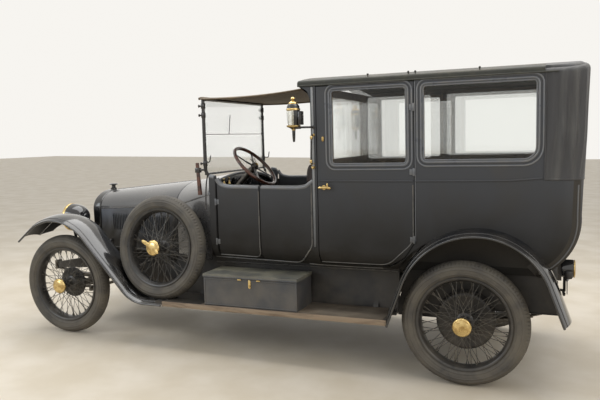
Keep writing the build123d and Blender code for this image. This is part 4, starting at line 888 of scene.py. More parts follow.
# Rolled rail along the driver's doors and cowl
side_x, side_z = bent(((1.106, 1.425), (1.17, 1.378), (1.24, 1.368), (1.87, 1.368), (1.95, 1.385),
                       (1.985, 1.442), (2.046, 1.452)), (0, 0.05, 0.2, 0.2, 0.08, 0.04, 0), 0.012, 8).T
rail = gridded(side_x, half_width_at(side_x) - 0.017, side_z + 0.004)
for name, body, low, high in (("rear", "chassis", 1.0, 1.569), ("door", "front_door_{}", 1.575, 1.98),
                              ("front", "chassis", 1.991, 2.1)):
    part = sweep(rail[(side_x > low) & (side_x < high)], oblong(0.042, 0.032, 0.0155, 5), (0, 0.3, 1))
    both("cockpit_rail_" + name, part, "moulding_paint", body)


# Scuttle and bonnet: an elliptical arch y = h cos t, z = s + (top - s) sin t over flat sides
def arch(x, turn, rear, front, lift=0.0):
    """Points of the arch at x for angles turn; an end gives x, half width, shoulder height and top height."""
    share = (x - rear[0]) / (front[0] - rear[0])
    half, shoulder, top = [low + (high - low) * share for low, high in zip(rear[1:], front[1:])]
    return gridded(x, (half + lift) * np.cos(turn), shoulder + (top + lift - shoulder) * np.sin(turn))


scuttle_rear, scuttle_front = (2.05, 0.618, 1.308, 1.46), (2.506, 0.4, 1.19, 1.384)
bonnet_rear, bonnet_front = (2.512, 0.4, 1.19, 1.384), (3.446, 0.262, 1.14, 1.292)
scuttle_x = np.linspace(2.051, 2.505, 14)[:, None]
arch_turn = np.radians(np.linspace(-1, 181, 61))[None]
make("scuttle_skin", plate(*[arch(scuttle_x, arch_turn, scuttle_rear, scuttle_front, lift)
                             for lift in (0.002, -0.002)]), "bonnet_paint")
bonnet_x = np.linspace(2.514, 3.444, 24)[:, None]
leaf_turn = np.radians(np.linspace(0.5, 89.6, 36))[None]
both("bonnet_skin", plate(*[arch(bonnet_x, leaf_turn, bonnet_rear, bonnet_front, lift)
                            for lift in (0.0015, -0.002)]), "bonnet_paint", "bonnet_top_{}")
full_turn = np.radians(np.linspace(0, 180, 61))
for name, x, rear, front, lift, radius in (
        ("scuttle_joint", 2.5085, bonnet_rear, bonnet_front, -0.001, 0.0018),
        ("cowl_edge", 2.052, scuttle_rear, scuttle_front, -0.004, 0.011)):
    make(name, tube(arch(x, full_turn, rear, front, lift), radius, (1, 0, 0)), "moulding_paint")
hinge_x = np.linspace(2.516, 3.442, 40)
centre_line = arch(hinge_x, pi / 2, bonnet_rear, bonnet_front)
make("bonnet_centre_hinge", tube(centre_line, 0.006), "bonnet_paint")
shoulder_line = arch(hinge_x, 0, bonnet_rear, bonnet_front, 0.001) - (0, 0, 0.0065)
both("bonnet_shoulder_hinge", tube(shoulder_line, 0.005), "bonnet_paint", "bonnet_top_{}")

# Louvres on the bonnet's side leaves
leaf_ahead = unit((bonnet_front[0] - bonnet_rear[0], bonnet_front[1] - bonnet_rear[1], 0))
leaf_out = np.array((-leaf_ahead[1], leaf_ahead[0], 0))
leaf_axes = np.stack([leaf_ahead, (0, 0, 1), leaf_out], -1)
louvre_run = np.linspace(-0.5, 0.5, 9)
louvre_rise = np.sqrt(np.maximum(1 - (2 * np.abs(louvre_run)) ** 6, 0.02))
louvre_path = gridded(0, louvre_run * 0.165, 0)
louvre_section = np.array(((0.0082, -0.001), (0.0078, 0.004), (0.0055, 0.0078), (0.002, 0.0075),
                           (-0.0075, -0.001)))
louvre = sweep(louvre_path, louvre_section * louvre_rise[:, None, None])
spots = (*bonnet_rear[:2], 1.015) + np.arange(0.1, 0.8, 0.0215)[:, None] * leaf_ahead
both("bonnet_louvres", repeated(louvre, spots, leaf_axes), "louvre_paint", "bonnet_side_{}")
leaf_edge = ((2.53, 0.3975, 0.775), (3.43, 0.264, 0.775))
both("bonnet_low_bead", tube(spaced(leaf_edge, 0.05), 0.005, (0, 0, 1)), "edge_highlight_paint", "bonnet_side_{}")
catch = joined(block((-0.014, -0.03, 0), (0.014, 0.03, 0.006), 0.002),
               aimed(lathe((0, 0, 9, 0, 11, 6, 10, 18, 6, 24, 0, 25), 16), (0, 0.012, 0.004)))
catch_spots = (*bonnet_rear[:2], 0.82) + np.array(((0.12,), (0.82,))) * leaf_ahead
both("bonnet_catch", repeated(catch, catch_spots, leaf_axes), "lamp_metal", "bonnet_side_{}")

# Radiator shell: a rounded band carried round the arch and the foot
shell_x = 3.496
shell_turn = np.radians(np.linspace(0, 180, 49))
shell_half, shell_shoulder, shell_top, shell_foot = 0.249, 1.13, 1.277, 0.659
shell_arch = gridded(shell_half * np.cos(shell_turn),
                     shell_shoulder + (shell_top - shell_shoulder) * np.sin(shell_turn))
foot = rounded(((-shell_half, shell_shoulder), (-shell_half, shell_foot), (shell_half, shell_foot),
                (shell_half, shell_shoulder)), (0, 0.03, 0.03, 0), 5)[1:-1]
shell_line = spaced(np.concatenate([shell_arch, foot, shell_arch[:1]]), 0.02)[:-1]
shell_path = np.insert(shell_line, 0, shell_x, axis=1)
shell_shape = sweep(shell_path, oblong(0.038, 0.088, 0.014, 5), (1, 0, 0), closed=True)
radiator_cap = lathe((0, 0, 30, 0, 30, 14, 20, 20, 19, 34, 22, 41, 38, 45, 41, 49, 40, 54, 30, 58.5, 0, 60.5),
                     40)
make("radiator_shell_band", shell_shape, "radiator_metal", replaces=("radiator_shell",))
make("radiator_cap", aimed(radiator_cap, (shell_x, 0, 1.2935)), "lamp_metal")
inner = gridded(3.5405, shell_line[:, 0] * 0.925, 0.96 + (shell_line[:, 1] - 0.96) * 0.94)
make("radiator_inner_bead", tube(inner, 0.005, (1, 0, 0), closed=True), "steel")


# Fenders
def crown(share):
    """The height across a fender, from 0 to 1 of its crown: the quartic through its five measured points."""
    known = np.array(((0, 0.6), (0.3, 1), (0.55, 0.95), (0.8, 0.6), (1, 0)))
    return np.polyval(np.polyfit(known[:, 0], known[:, 1], 4), share)


def fender_grid(line, radii, shares, rise=0.0):
    """The crowned section at each share of the width, carried along the side view's rounded line."""
    line = spaced(rounded(line, radii, 40), 0.014)
    tangent = unit(np.gradient(line, axis=0))
    over = np.stack([-tangent[:, 1], tangent[:, 0]], -1)
    if over[len(over) // 3, 1] < 0:
        over = -over
    reach = (crown(shares) * fender_crown + rise)[None, :, None]
    side_view = line[:, None] + over[:, None] * reach
    return gridded(side_view[..., 0], fender_in + shares * (fender_out - fender_in), side_view[..., 1])


def welled(shape):
    """Points inside the spare's well pushed straight out from its axle: to one radius across the tyre's
    width, then sloping back on both sides."""
    well_radius, half_width, slope = 0.452, 0.07, 2.2
    away = shape[0] - spare_spot
    height = away @ spare_axis
    radial = away - height[:, None] * spare_axis
    radius = np.linalg.norm(radial, axis=1)
    wanted = well_radius - np.maximum(np.abs(height) - half_width, 0) * slope
    scale = np.where((wanted > radius) & (away[:, 2] < 0), wanted / np.maximum(radius, 1e-6), 1)
    return spare_spot + height[:, None] * spare_axis + radial * scale[:, None], shape[1], shape[2]


def tucked(shape):
    """Points that lie within the body's side view are kept outside its flank, just under the paint."""
    x, y, z = shape[0].T
    side, _ = flank(x, z)
    in_bow = (x > rear_x + 0.01) & (bow_radius > np.hypot(x - bow_centre[0], z - bow_centre[1]))
    within = (z > body_bottom) & (in_bow | (x > bow_centre[0]))
    return gridded(x, np.where(within, np.maximum(y, side[:, 1] - 0.005), y), z), shape[1], shape[2]


fender_shares = np.concatenate([np.linspace(0, 0.8, 20), np.linspace(0.83, 1, 9)])
fender_lines = (
    ("front", ((3.922, 0.885), (3.475, 1.24), (2.722, 0.41), (2.43, 0.41)), (0, 0.43, 0.3, 0),
     front_hub, 0.07),
    ("rear", ((0.526, 0.4), (0.28, 1.065), (-0.43, 1.065), (-0.646, 0.488)), (0, 0.538, 0.48, 0),
     rear_hub, 0.095),
)
for end, line, radii, hub, flange_depth in fender_lines:
    layers = [fender_grid(line, radii, fender_shares, -depth) for depth in (0, 0.0015, 0.003)]
    sheet = plate(layers[0], layers[1])
    lip = tube(layers[0][:, -1] + (0, -0.004, -0.004), 0.0085, (0, 1, 0), 12)
    line_bead = tube(fender_grid(line, radii, np.array((0.87, 0.875)))[:, 0], 0.0035, (0, 1, 0), 8)
    edge = layers[2][:, 0]
    step = np.arange(len(edge))
    depth = flange_depth * np.clip(np.minimum(step, step[::-1]) / 12, 0.1, 1)
    inward = unit(hub - edge * (1, 0, 1)) * depth[:, None]
    flange_run = np.stack([edge - (0, 0.001, 0.002), edge + (inward + (0, -0.001, 0))], 1)
    if end == "rear":
        flange_run = flange_run[flange_run[:, 0, 0] < -0.47]
    flange = plate(flange_run, flange_run + (0, 0.0015, 0))
    liner = joined(plate(layers[1] - (0, 0, 0.0002), layers[2]), flange)
    for kind, whole, finish_name in (("sheet", joined(sheet, lip, line_bead), "fender_enamel"),
                                     ("liner", liner, "liner_paint")):
        whole = tucked(whole) if end == "rear" else whole
        for side, form in (("left", welled(whole) if end == "front" else whole),
                           ("right", other_side(whole))):
            replaced = (f"{end}_fender_{side}",) if kind == "sheet" else ()
            make(f"{end}_fender_{side}_{kind}", form, finish_name, replaces=replaced, angle=50)

# A panel on the inner side of each rear fender, open above the axle
house_x = np.linspace(-0.622, 0.502, 90)
house_edge = fender_grid(*fender_lines[1][1:3], np.array((0.0, 0.01)), -0.006)[::-1, 0]
bow_drop = np.sqrt(np.maximum(bow_radius**2 - np.minimum(house_x - bow_centre[0], 0) ** 2, 0))
house_top = np.minimum(np.interp(house_x, house_edge[:, 0], house_edge[:, 2]),
                       np.maximum(body_bottom, bow_centre[1] - bow_drop) + 0.012)
gap_radius = 0.15
house_foot = np.interp(house_x, (-gap_radius, gap_radius), (0.505, 0.425))
axle_gap = rear_hub[2] + np.sqrt(np.maximum(gap_radius**2 - house_x**2, 0))
house_foot = np.where(np.abs(house_x) < gap_radius, np.maximum(house_foot, axle_gap), house_foot)
house_foot = np.minimum(house_foot, house_top - 0.006)
house_level = house_foot[:, None] + (house_top - house_foot)[:, None] * np.linspace(0, 1, 9)
house = gridded(house_x[:, None], 0.562, house_level)
both("wheel_house", joined(thick(house, 0.002), tube(house[:, 0], 0.005, (0, 1, 0), 8)), "chassis_paint")
stay = bent(((3.5, 0.375, 0.64), (3.5, 0.5, 0.64), (3.5, 0.6, 1.06)), (0, 0.12, 0), 0.03, 8)
both("front_fender_stay", tube(stay, 0.013, (1, 0, 0)), "chassis_paint")

# Running boards: ribbed cover and pale edge strip
strip = block((0.53, 0.808, board_top - 0.036), (2.42, 0.8185, board_top + 0.005), 0.002)
for side, turned, cover_end in (("left", joined, 2.06), ("right", other_side, 2.4)):
    cover = block((0.56, 0.47, board_top - 0.002), (cover_end, 0.806, board_top + 0.003), 0.002)
    make(f"board_cover_{side}", turned(cover), "board_cover")
    make(f"board_strip_{side}", turned(strip), "board_edge")
apron_edge = np.linspace((0.53, 0.44, 0.722), (2.1, 0.44, 0.722), 30)
# The apron's top edge takes the paler paint of a painted highlight
both("apron_edge", tube(apron_edge, 0.008, (0, 0, 1)), "edge_highlight_paint")
splash = gridded(np.linspace(2.06, 2.94, 12), np.array((0.42, 0.418, 0.412, 0.402))[:, None],
                 np.array((0.425, 0.52, 0.6, 0.66))[:, None])
both("splash_plate", thick(splash, 0.002), "chassis_paint")

# Toolbox: lid edging, two bands, corner straps, hasp and two catches
lid_edge = spaced(((1.216, 0.8065, 0.674), (2.026, 0.8065, 0.674)), 0.05)
make("toolbox_lid_edge", sweep(lid_edge, oblong(0.012, 0.008, 0.0035, 3)), "box_paint", "toolbox_lid")
bands = [sweep(spaced(((1.224, 0.801, z), (2.018, 0.801, z)), 0.05), oblong(0.006, 0.012, 0.0025, 3))
         for z in (0.655, 0.45)]
straps = [block((x, 0.79, 0.437), (x + 0.014, 0.8035, 0.664), 0.002) for x in (1.219, 2.009)]
make("toolbox_bands", joined(*bands, *straps), "box_paint")
hasp = joined(slab(oblong(0.02, 0.066, 0.008), 0, 0.004, 0.001),
              aimed(lathe((0, 0, 9, 0, 9, 4, 6, 9, 0, 10), 16), (0, -0.016, 0.003)))
make("toolbox_hasp", aimed(hasp, (1.614, 0.802, 0.63), (0, 1, 0), (-1, 0, 0)), "brass")
catch_plate = slab(oblong(0.034, 0.009, 0.004), 0, 0.005, 0.0015)
for k, x in enumerate((1.7, 1.535)):
    make(f"toolbox_catch_{k}", aimed(catch_plate, (x, 0.8075, 0.662), (0, 1, 0), (-1, 0, 0)), "brass")

# Hinges, handles and grab rails
barrel = joined(lathe((0, -28, 7, -27, 8.5, -24, 8.5, 24, 7, 27, 0, 28), 16),
                block((0.002, -0.007, -0.02), (0.03, -0.001, 0.02), 0.001))
rear_hinges = [(0.345, body_half + 0.006, z) for z in (1.943, 1.491, 1.01)]
both("rear_door_hinges", repeated(barrel, rear_hinges), "moulding_paint", "rear_door_{}")
front_hinges = [(1.986, half_width_at(1.985) + 0.006, z) for z in (1.25, 0.926)]
turned_barrel = flipped((barrel[0] * (-1, 1, 1), barrel[1], barrel[2]))
both("front_door_hinges", repeated(turned_barrel, front_hinges), "moulding_paint", "front_door_{}")
rosette = lathe((0, -2, 18, -2, 18, 2, 14, 6, 9, 8, 8, 26, 10, 29, 9, 33, 0, 34), 28)
lever_line = ((0.955, 0.736, 1.374), (0.963, 0.7345, 1.376), (0.99, 0.7335, 1.379), (1.02, 0.7325, 1.38),
              (1.044, 0.7325, 1.379), (1.054, 0.733, 1.377))
lever_size = (0.0035, 0.0105, 0.009, 0.008, 0.009, 0.0045)
spur = lathe((0, 0, 6, 0, 5, 10, 7, 18, 9, 24, 6, 31, 0, 33), 16)
handle = joined(aimed(rosette, (1.02, 0.703, 1.378), (0, 1, 0)), tube(lever_line, lever_size, (0, 1, 0), 14),
                aimed(spur, (0.982, 0.733, 1.38)))
both("door_handle_lever", handle, "brass", "rear_door_{}", "door_handle_{}")
lock_plate = slab(oblong(0.018, 0.036, 0.0088), -0.002, 0.006, 0.002)
both("door_keeper", aimed(lock_plate, (1.018, 0.706, 1.737), (0, 1, 0), (1, 0, 0)), "brass", "rear_door_{}")
knob = lathe((0, -4, 10, -4, 10, 2, 6, 8, 11, 16, 12, 22, 8, 29, 0, 31), 20)
both("pillar_knob", aimed(knob, (1.092, 0.71, 1.528), (0, 1, 0)), "brass")
grab = bent(((1.095, 0.706, 1.768), (1.095, 0.742, 1.768), (1.102, 0.742, 1.556), (1.102, 0.706, 1.556)),
            (0, 0.016, 0.016, 0), 0.008)
both("grab_rail", tube(grab, 0.0065, (1, 0, 0)), "screen_paint")
socket = lathe((0, -12, 9, -12, 10.5, -8, 10.5, 8, 9, 12, 0, 12), 16)
rail_foot = lathe((0, -2, 14, -2, 13, 4, 8, 7, 0, 8), 20)
both("grab_rail_ends", joined(aimed(socket, (1.0955, 0.742, 1.75)), aimed(socket, (1.1015, 0.742, 1.574)),
                              aimed(rail_foot, (1.095, 0.706, 1.768), (0, 1, 0)),
                              aimed(rail_foot, (1.102, 0.706, 1.556), (0, 1, 0))), "brass")

# Windscreen: tube frame, clamps, hooked lever, side rod and the wooden bar on the left post
post = bent(((screen_x, 0.555, 2.088), (screen_x, 0.555, 1.5), (2.092, 0.54, 1.452), (2.07, 0.5, 1.448)),
            (0, 0.05, 0.03, 0), 0.02, 8)
post_size = np.interp(post[:, 2], (1.44, 1.52, 2.1), (0.012, 0.0155, 0.014))
both("screen_post", tube(post, post_size, (1, 0, 0), 14), "screen_paint")
bars = [tube(spaced(((screen_x, -0.556, z), (screen_x, 0.556, z)), 0.05), radius, (1, 0, 0))
        for z, radius in ((2.083, 0.012), (1.8, 0.0035), (1.472, 0.009))]
make("screen_bars", joined(*bars), "screen_paint", replaces=("windscreen",))
clamp_screw = lathe((0, 0, 7, 0, 7, 22, 13, 26, 13, 32, 8, 36, 0, 37), 16)
clamp = joined(lathe((0, -22, 17, -22, 19, -18, 19, 18, 17, 22, 0, 22), 20),
               aimed(clamp_screw, (0.006, 0, 0), (0.9, 0.43, 0)))
both("screen_clamps", repeated(clamp, [(screen_x, 0.555, z) for z in (2.03, 1.955, 1.56)]), "screen_paint")
hook = bent(((screen_x, 0.565, 1.572), (2.062, 0.568, 1.57), (2.052, 0.568, 1.626)), (0, 0.012, 0), 0.006)
both("screen_lever", tube(hook, 0.0045), "screen_paint")
rod = bent(((2.098, 0.552, 1.458), (2.092, 0.585, 1.4), (2.075, 0.628, 1.32), (2.075, 0.636, 1.19)),
           (0, 0.04, 0.04, 0), 0.012)
both("screen_bracket", tube(rod, 0.006, (1, 0, 0)), "screen_paint")
pad_line = spaced(((2.128, 0.655, 1.569), (2.112, 0.655, 1.308)), 0.02)
pad_size = np.interp(pad_line[:, 2], (1.308, 1.569), (0.017, 0.0135))
make("wooden_bar", sweep(pad_line, pad_size[:, None, None] * oblong(2, 1.7, 0.5, 4), (1, 0, 0)), "rim_wood")
make("wooden_bar_clamp", joined(block((2.105, 0.56, 1.502), (2.122, 0.66, 1.518), 0.003),
                                block((2.1, 0.636, 1.49), (2.142, 0.674, 1.53), 0.004)), "screen_paint")
make("screen_wiper", rods((2.1, 0.12, 1.965), (2.098, 0.155, 1.8), (0.0035, 0.003, 0.0035)), "screen_paint")

# Steering wheel: wooden rim, four arms and a boss
steer_spot = np.array((1.768, 0.33, 1.525))
steer_axis = unit((-1, 0, 1))
ring_turn = full_circle(72)
rim_size = 0.0148 - 0.0012 * (1 + np.cos(24 * ring_turn)) / 2
wheel_rim = tube(polar(0.211, ring_turn, 0), rim_size, (0, 0, 1), 14, closed=True)
arm_turn = np.radians((45, 135, 225, 315))
arm_line = np.array(((0.022, 0, -0.004), (0.07, 0, -0.007), (0.14, 0, -0.004), (0.203, 0, 0.0)))
arm = sweep(arm_line, np.array((1.15, 1.0, 0.8, 0.9))[:, None, None] * oblong(0.024, 0.008, 0.0035, 3))
arm_axes = np.stack([gridded(np.cos(arm_turn), -np.sin(arm_turn), 0),
                     gridded(np.sin(arm_turn), np.cos(arm_turn), 0), np.tile((0, 0, 1.0), (4, 1))], 1)
boss = lathe((0, -20, 30, -20, 34, -12, 34, 6, 28, 12, 24, 16, 22, 21, 12, 22, 0, 22), 32)
quadrant = lathe((0, 22.5, 16, 22.5, 17, 26, 12, 30, 0, 31), 24)
levers = rods(((0, 0, 0.024), (0, 0, 0.024)), ((0.055, 0.05, 0.03), (0.065, -0.035, 0.03)),
              (0.003, 0.0025, 0.004))
column_collar = lathe((0, -300, 26, -300, 27, -280, 24, -270, 24, -60, 28, -50, 28, -35, 0, -35), 28)
for name, shape, finish_name, body in (
        ("rim", wheel_rim, "rim_wood", "steering_wheel"),
        ("arms", joined(repeated(arm, np.zeros((4, 3)), arm_axes), boss), "screen_paint", "steering_wheel"),
        ("quadrant", quadrant, "brass", "steering_wheel"), ("levers", levers, "steel", "steering_wheel"),
        ("collar", column_collar, "steel", "chassis")):
    make("steering_" + name, aimed(shape, steer_spot, steer_axis), finish_name, body,
         ("steering_wheel",) if name == "rim" else ())

# Instruments and taps on the board under the cowl, and the gear lever
gauge = lathe((0, 0, 38, 0, 40, 4, 38, 10, 34, 12, 32, 8, 0, 8), 36)
gauge_spots = ((2.077, 0.12, 1.375), (2.077, -0.02, 1.375), (2.077, -0.16, 1.375), (2.077, 0.22, 1.36))
make("instruments", outward(repeated(gauge, gauge_spots, np.stack([(0, -1, 0), (0, 0, 1), (-1, 0, 0)], -1))),
     "lamp_metal")
tap = lathe((0, 0, 14, 0, 12, 12, 7, 20, 7, 40, 12, 50, 0, 56), 20)
make("dash_taps", repeated(tap, ((2.035, 0.3, 1.375), (2.03, 0.4, 1.372))), "brass")
gear_line = bent(((1.72, -0.1, 0.8), (1.74, -0.1, 1.05), (1.7, -0.1, 1.22)), (0, 0.2, 0), 0.02)
gear_knob = aimed(lathe((0, -20, 12, -18, 19, 0, 12, 18, 0, 20), 20), (1.7, -0.1, 1.235))
make("gear_lever", joined(tube(gear_line, 0.009), gear_knob), "screen_paint")

# Headlamps: bowl, brass rim, reflector, lens and stalk
bowl = lathe((34, -92, 36, -86, 58, -82, 80, -70, 99, -48, 112, -20, 121, 15, 126, 50, 127.5, 68, 121.5, 68,
              119, 50, 105, -16, 60, -66, 34, -78), 64, closed=True)
cup = lathe((0, -94, 30, -93, 36, -88, 36, -80, 0, -78), 32)
lamp_rim = lathe((127.5, 60, 130, 64, 130, 82, 127, 88, 120, 88.5, 114, 84, 114, 78, 121, 76, 121.5, 60), 64,
                 closed=True)
bright = lathe((118, 66, 103, 20, 85, -20, 60, -50, 20, -66, 19.5, -62, 58, -45, 82, -16, 100, 22, 114, 66),
               48, closed=True)
bulb = lathe((0, -60, 12, -60, 12, -20, 18, 0, 12, 16, 0, 20), 20)
lens = lathe((0, 79, 40, 78.5, 80, 76.5, 116, 73.5, 116, 76.5, 80, 81, 40, 83.5, 0, 84), 48)
for name, shape, finish_name in (("bowl", joined(bowl, cup), "lamp_metal"), ("rim", lamp_rim, "brass"),
                                 ("reflector", joined(bright, bulb), "reflector"), ("lens", lens, "lens")):
    both("headlamp_" + name, aimed(shape, (3.6, 0.4, 1.062), (1, 0, 0)), finish_name)
stalk = bent(((3.6, 0.4, 0.945), (3.6, 0.4, 0.66), (3.6, 0.365, 0.64)), (0, 0.04, 0), 0.02)
fork = lathe((0, 0, 22, 0, 26, 10, 18, 22, 14, 40, 0, 40), 24)
stalk_size = np.interp(stalk[:, 2], (0.64, 0.94), (0.016, 0.011))
both("headlamp_stalk", joined(tube(stalk, stalk_size, (1, 0, 0), 12),
                              aimed(fork, (3.6, 0.4, 0.937), (0, 0, -1)),
                              aimed(fork, (3.6, 0.4, 0.9))), "chassis_paint")
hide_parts("headlamps")

# Side lamps: brass and black lanterns on brackets from the front pillars
lantern_brass = joined(
    lathe((0, -34, 12, -34, 14, -30, 14, -26, 30, -14, 50, -6, 52, -3, 52, 4, 47, 6, 0, 6), 36),
    lathe((0, 113, 50, 113, 52.5, 116, 52.5, 124, 48, 128, 0, 128), 36),
    lathe((0, 161, 35, 161, 36.5, 164, 34, 169, 22, 177, 13, 183, 9, 187, 14, 192, 18, 199, 15, 206, 7, 211.5,
           0, 212), 32),
    lathe((0, -56, 9, -56, 12, -52, 12, -46, 9, -42, 0, -42), 24))
lantern_black = joined(
    lathe((0, 126, 47, 126, 48, 130, 47, 140, 42, 151, 34, 160, 0, 163), 36),
    lathe((0, -118, 6, -118, 9, -112, 11.5, -80, 12.5, -50, 13, -30, 0, -30), 24))
case_rise = np.linspace(0.004, 0.114, 6)[:, None]
taper = 1 - 0.16 * (1 - case_rise / 0.114) ** 2


def lantern_wall(first, last, count, outer, inner):
    """Part of the lantern's round wall between two angles and two radii, tapering by a parabola."""
    turn = np.radians(np.linspace(first, last, count))[None]
    return plate(*[polar(radius * taper, turn, case_rise) for radius in (outer, inner)])


candle = lathe((0, 4, 14, 4, 14, 50, 6, 55, 5, 70, 8, 80, 4, 92, 0, 95), 20)
for name, shape, finish_name in (
        ("brass", lantern_brass, "brass"),
        ("black", joined(lantern_black, lantern_wall(115, 245, 22, 0.0505, 0.047)), "lamp_metal"),
        ("pane", lantern_wall(-115, 115, 40, 0.049, 0.0465), "lens"),
        ("candle", joined(candle, lantern_wall(95, 265, 24, 0.0465, 0.045)), "reflector")):
    both("side_lamp_" + name, aimed(shape, (1.222, 0.77, 1.838)), finish_name)
arm_path = bent(((1.096, 0.704, 1.826), (1.096, 0.77, 1.826), (1.175, 0.77, 1.826)), (0, 0.03, 0), 0.01)
bracket = joined(tube(arm_path, 0.0075, (0, 0, 1), 12),
                 block((1.15, 0.742, 1.845), (1.178, 0.798, 1.945), 0.006),
                 block((1.168, 0.752, 1.815), (1.215, 0.788, 1.832), 0.004),
                 aimed(lathe((0, -2, 17, -2, 17, 3, 11, 7, 0, 8), 24), (1.096, 0.706, 1.826), (0, 1, 0)))
both("side_lamp_bracket", bracket, "screen_paint")
for node in ("side_lamps", "lamp_glass"):
    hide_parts(node)

# Tail: lamp, a second small lamp, and the plain plate on the lamps' arm
tail_case = lathe((0, -42, 55, -42, 61, -36, 61.5, 26, 58, 36, 40, 41, 0, 42), 40)
tail_glass = lathe((0, 0, 46, 0, 44, 4, 30, 7, 0, 8), 32)
tail_rim = lathe((46, -2, 60, -2, 60, 4, 50, 8, 46, 6), 40, closed=True)
make("tail_lamp_case", aimed(tail_case, (-0.658, 0.535, 0.825), (1, 0, 0)), "lamp_metal",
     replaces=("tail_lamp",))
make("tail_lamp_rim", aimed(tail_rim, (-0.7, 0.535, 0.825), (-1, 0, 0)), "brass")
make("tail_lamp_glass", aimed(tail_glass, (-0.6995, 0.535, 0.825), (-1, 0, 0)), "red_lens")
tail_arm = bent(((-0.64, 0.535, 0.77), (-0.64, 0.535, 0.635), (-0.632, 0.345, 0.632), (-0.595, 0.352, 0.632)),
                (0, 0.03, 0.02, 0), 0.015)
plate_back = block((-0.66, 0.3, 0.665), (-0.655, 0.62, 0.765), 0.002)
small_lamp = lathe((0, -30, 22, -30, 26, -24, 26, 12, 22, 20, 0, 21), 28)
make("tail_lamp_arm", joined(tube(tail_arm, 0.009, (0, 0.3, 1)), plate_back,
                             aimed(small_lamp, (-0.665, 0.6, 0.79), (0, 0, -1))), "chassis_paint")


# Roof: a crowned skin with rounded eaves, a drip moulding and small hooks
def over_roof(y, drop=0.0, half=body_half):
    """The circular arc through the roof's two sides and its crown, lowered by drop."""
    rise = roof_crown - roof_side
    radius = (half**2 + rise**2) / (2 * rise)
    return roof_crown - radius + np.sqrt(radius**2 - y**2) - drop


def roof_line(inset, drop, corner):
    """The roof's section from the left eave over the crown to the right one, its shoulders rounded."""
    half = body_half - inset
    y = np.linspace(half - corner, -(half - corner), 48)
    top = gridded(y, over_roof(y, drop))
    left = polar(corner, np.radians(np.linspace(0, 80, 7))) + (half - corner, top[0, 1] - corner)
    right = left[::-1] * (-1, 1)
    return np.concatenate([((half, eaves + 0.002),), left, top[1:-1], right, ((-half, eaves + 0.002),)])


front_curve = 0.012
curve_start = roof_front - front_curve
roof_steps = np.concatenate([[hood_front], np.linspace(hood_front + 0.02, curve_start, 30),
                             curve_start + front_curve * np.sin(np.radians((22, 45, 65, 80, 90)))])[:, None]
drop = front_curve * (1 - np.sqrt(1 - np.clip((roof_steps - curve_start) / front_curve, 0, 1) ** 2))
outer, inner = roof_line(0.0, 0.0, 0.018), roof_line(0.028, 0.026, 0.014)
weight = np.clip((outer[:, 1] - eaves) / 0.03, 0, 1)
ripple = 0.0012 * np.sin(roof_steps * 31) * np.sin(outer[:, 0] * 9)
roof_face = gridded(roof_steps, outer[:, 0] * (1 - drop * 0.6), outer[:, 1] - drop * weight + ripple * weight)
roof_back = gridded(roof_steps - drop, inner[:, 0], inner[:, 1])
make("roof_skin", plate(roof_face, roof_back), "roof_cloth", replaces=("roof",))
drip = gridded(np.linspace(hood_front - 0.08, curve_start, 60), body_half + 0.004, eaves + 0.006)
both("drip_moulding", sweep(drip, oblong(0.014, 0.011, 0.004, 3)), "roof_cloth")
roof_hook = lathe((0, -6, 9, -6, 9, 0, 4.2, 4, 3.8, 14, 7.5, 19, 8, 24, 5, 29, 0, 30), 14)
roof_hook = aimed(roof_hook, (0, 0, 0), (0, 0.25, 1))
hook_spots = np.array([(x, body_half - 0.022, 2.166) for x in (0.674, 0.382, 0.333, -0.1)])
both("roof_hooks", repeated(roof_hook, hook_spots), "screen_paint")
peak = np.array(((1.112, 1.96), (1.12, 2.04), (1.145, 2.095), (1.185, 2.118), (1.205, 2.124), (1.205, 2.135),
                 (1.112, 2.135), (1.085, 2.135), (1.085, 1.96)))
peak_line = spaced(np.concatenate([peak, peak[:1]]), 0.01)[:-1]
both("roof_bracket", aimed(slab(peak_line, -0.014, 0.014, 0.003), (0, 0.688, 0), (0, -1, 0)), "coach_paint")

# Hood: leather drawn over the rear quarter, its folds, the rear light's frame and glass
light_low, light_high, light_half = 1.7245, 1.9145, 0.19
plan = spaced(behind(hood_waist, 0.0015), 0.0095)
plan_run = np.concatenate([[0], np.cumsum(np.linalg.norm(np.diff(plan, axis=0), axis=1))])
half_run = plan_run[-1] / 2
plan_out = unit(np.column_stack([np.gradient(plan[:, 1]), -np.gradient(plan[:, 0])]))
plan_out *= np.sign((plan_out * (plan - (hood_front, 0))).sum(1, keepdims=True))
straight_top = 1.96
plan_top = over_roof(np.clip(plan[:, 1], -body_half, body_half), 0.01)
light_levels = np.linspace(light_low, light_high, 12)[1:]
low_levels = np.concatenate([np.linspace(hood_waist + 0.001, light_low, 17), light_levels,
                             [1.937, straight_top]])[:, None]
over_turn = np.sin(np.linspace(0, pi / 2, 19))[1:, None]
hood_levels = np.concatenate([np.repeat(low_levels, len(plan), 1),
                              straight_top + over_turn * (plan_top - straight_top)])


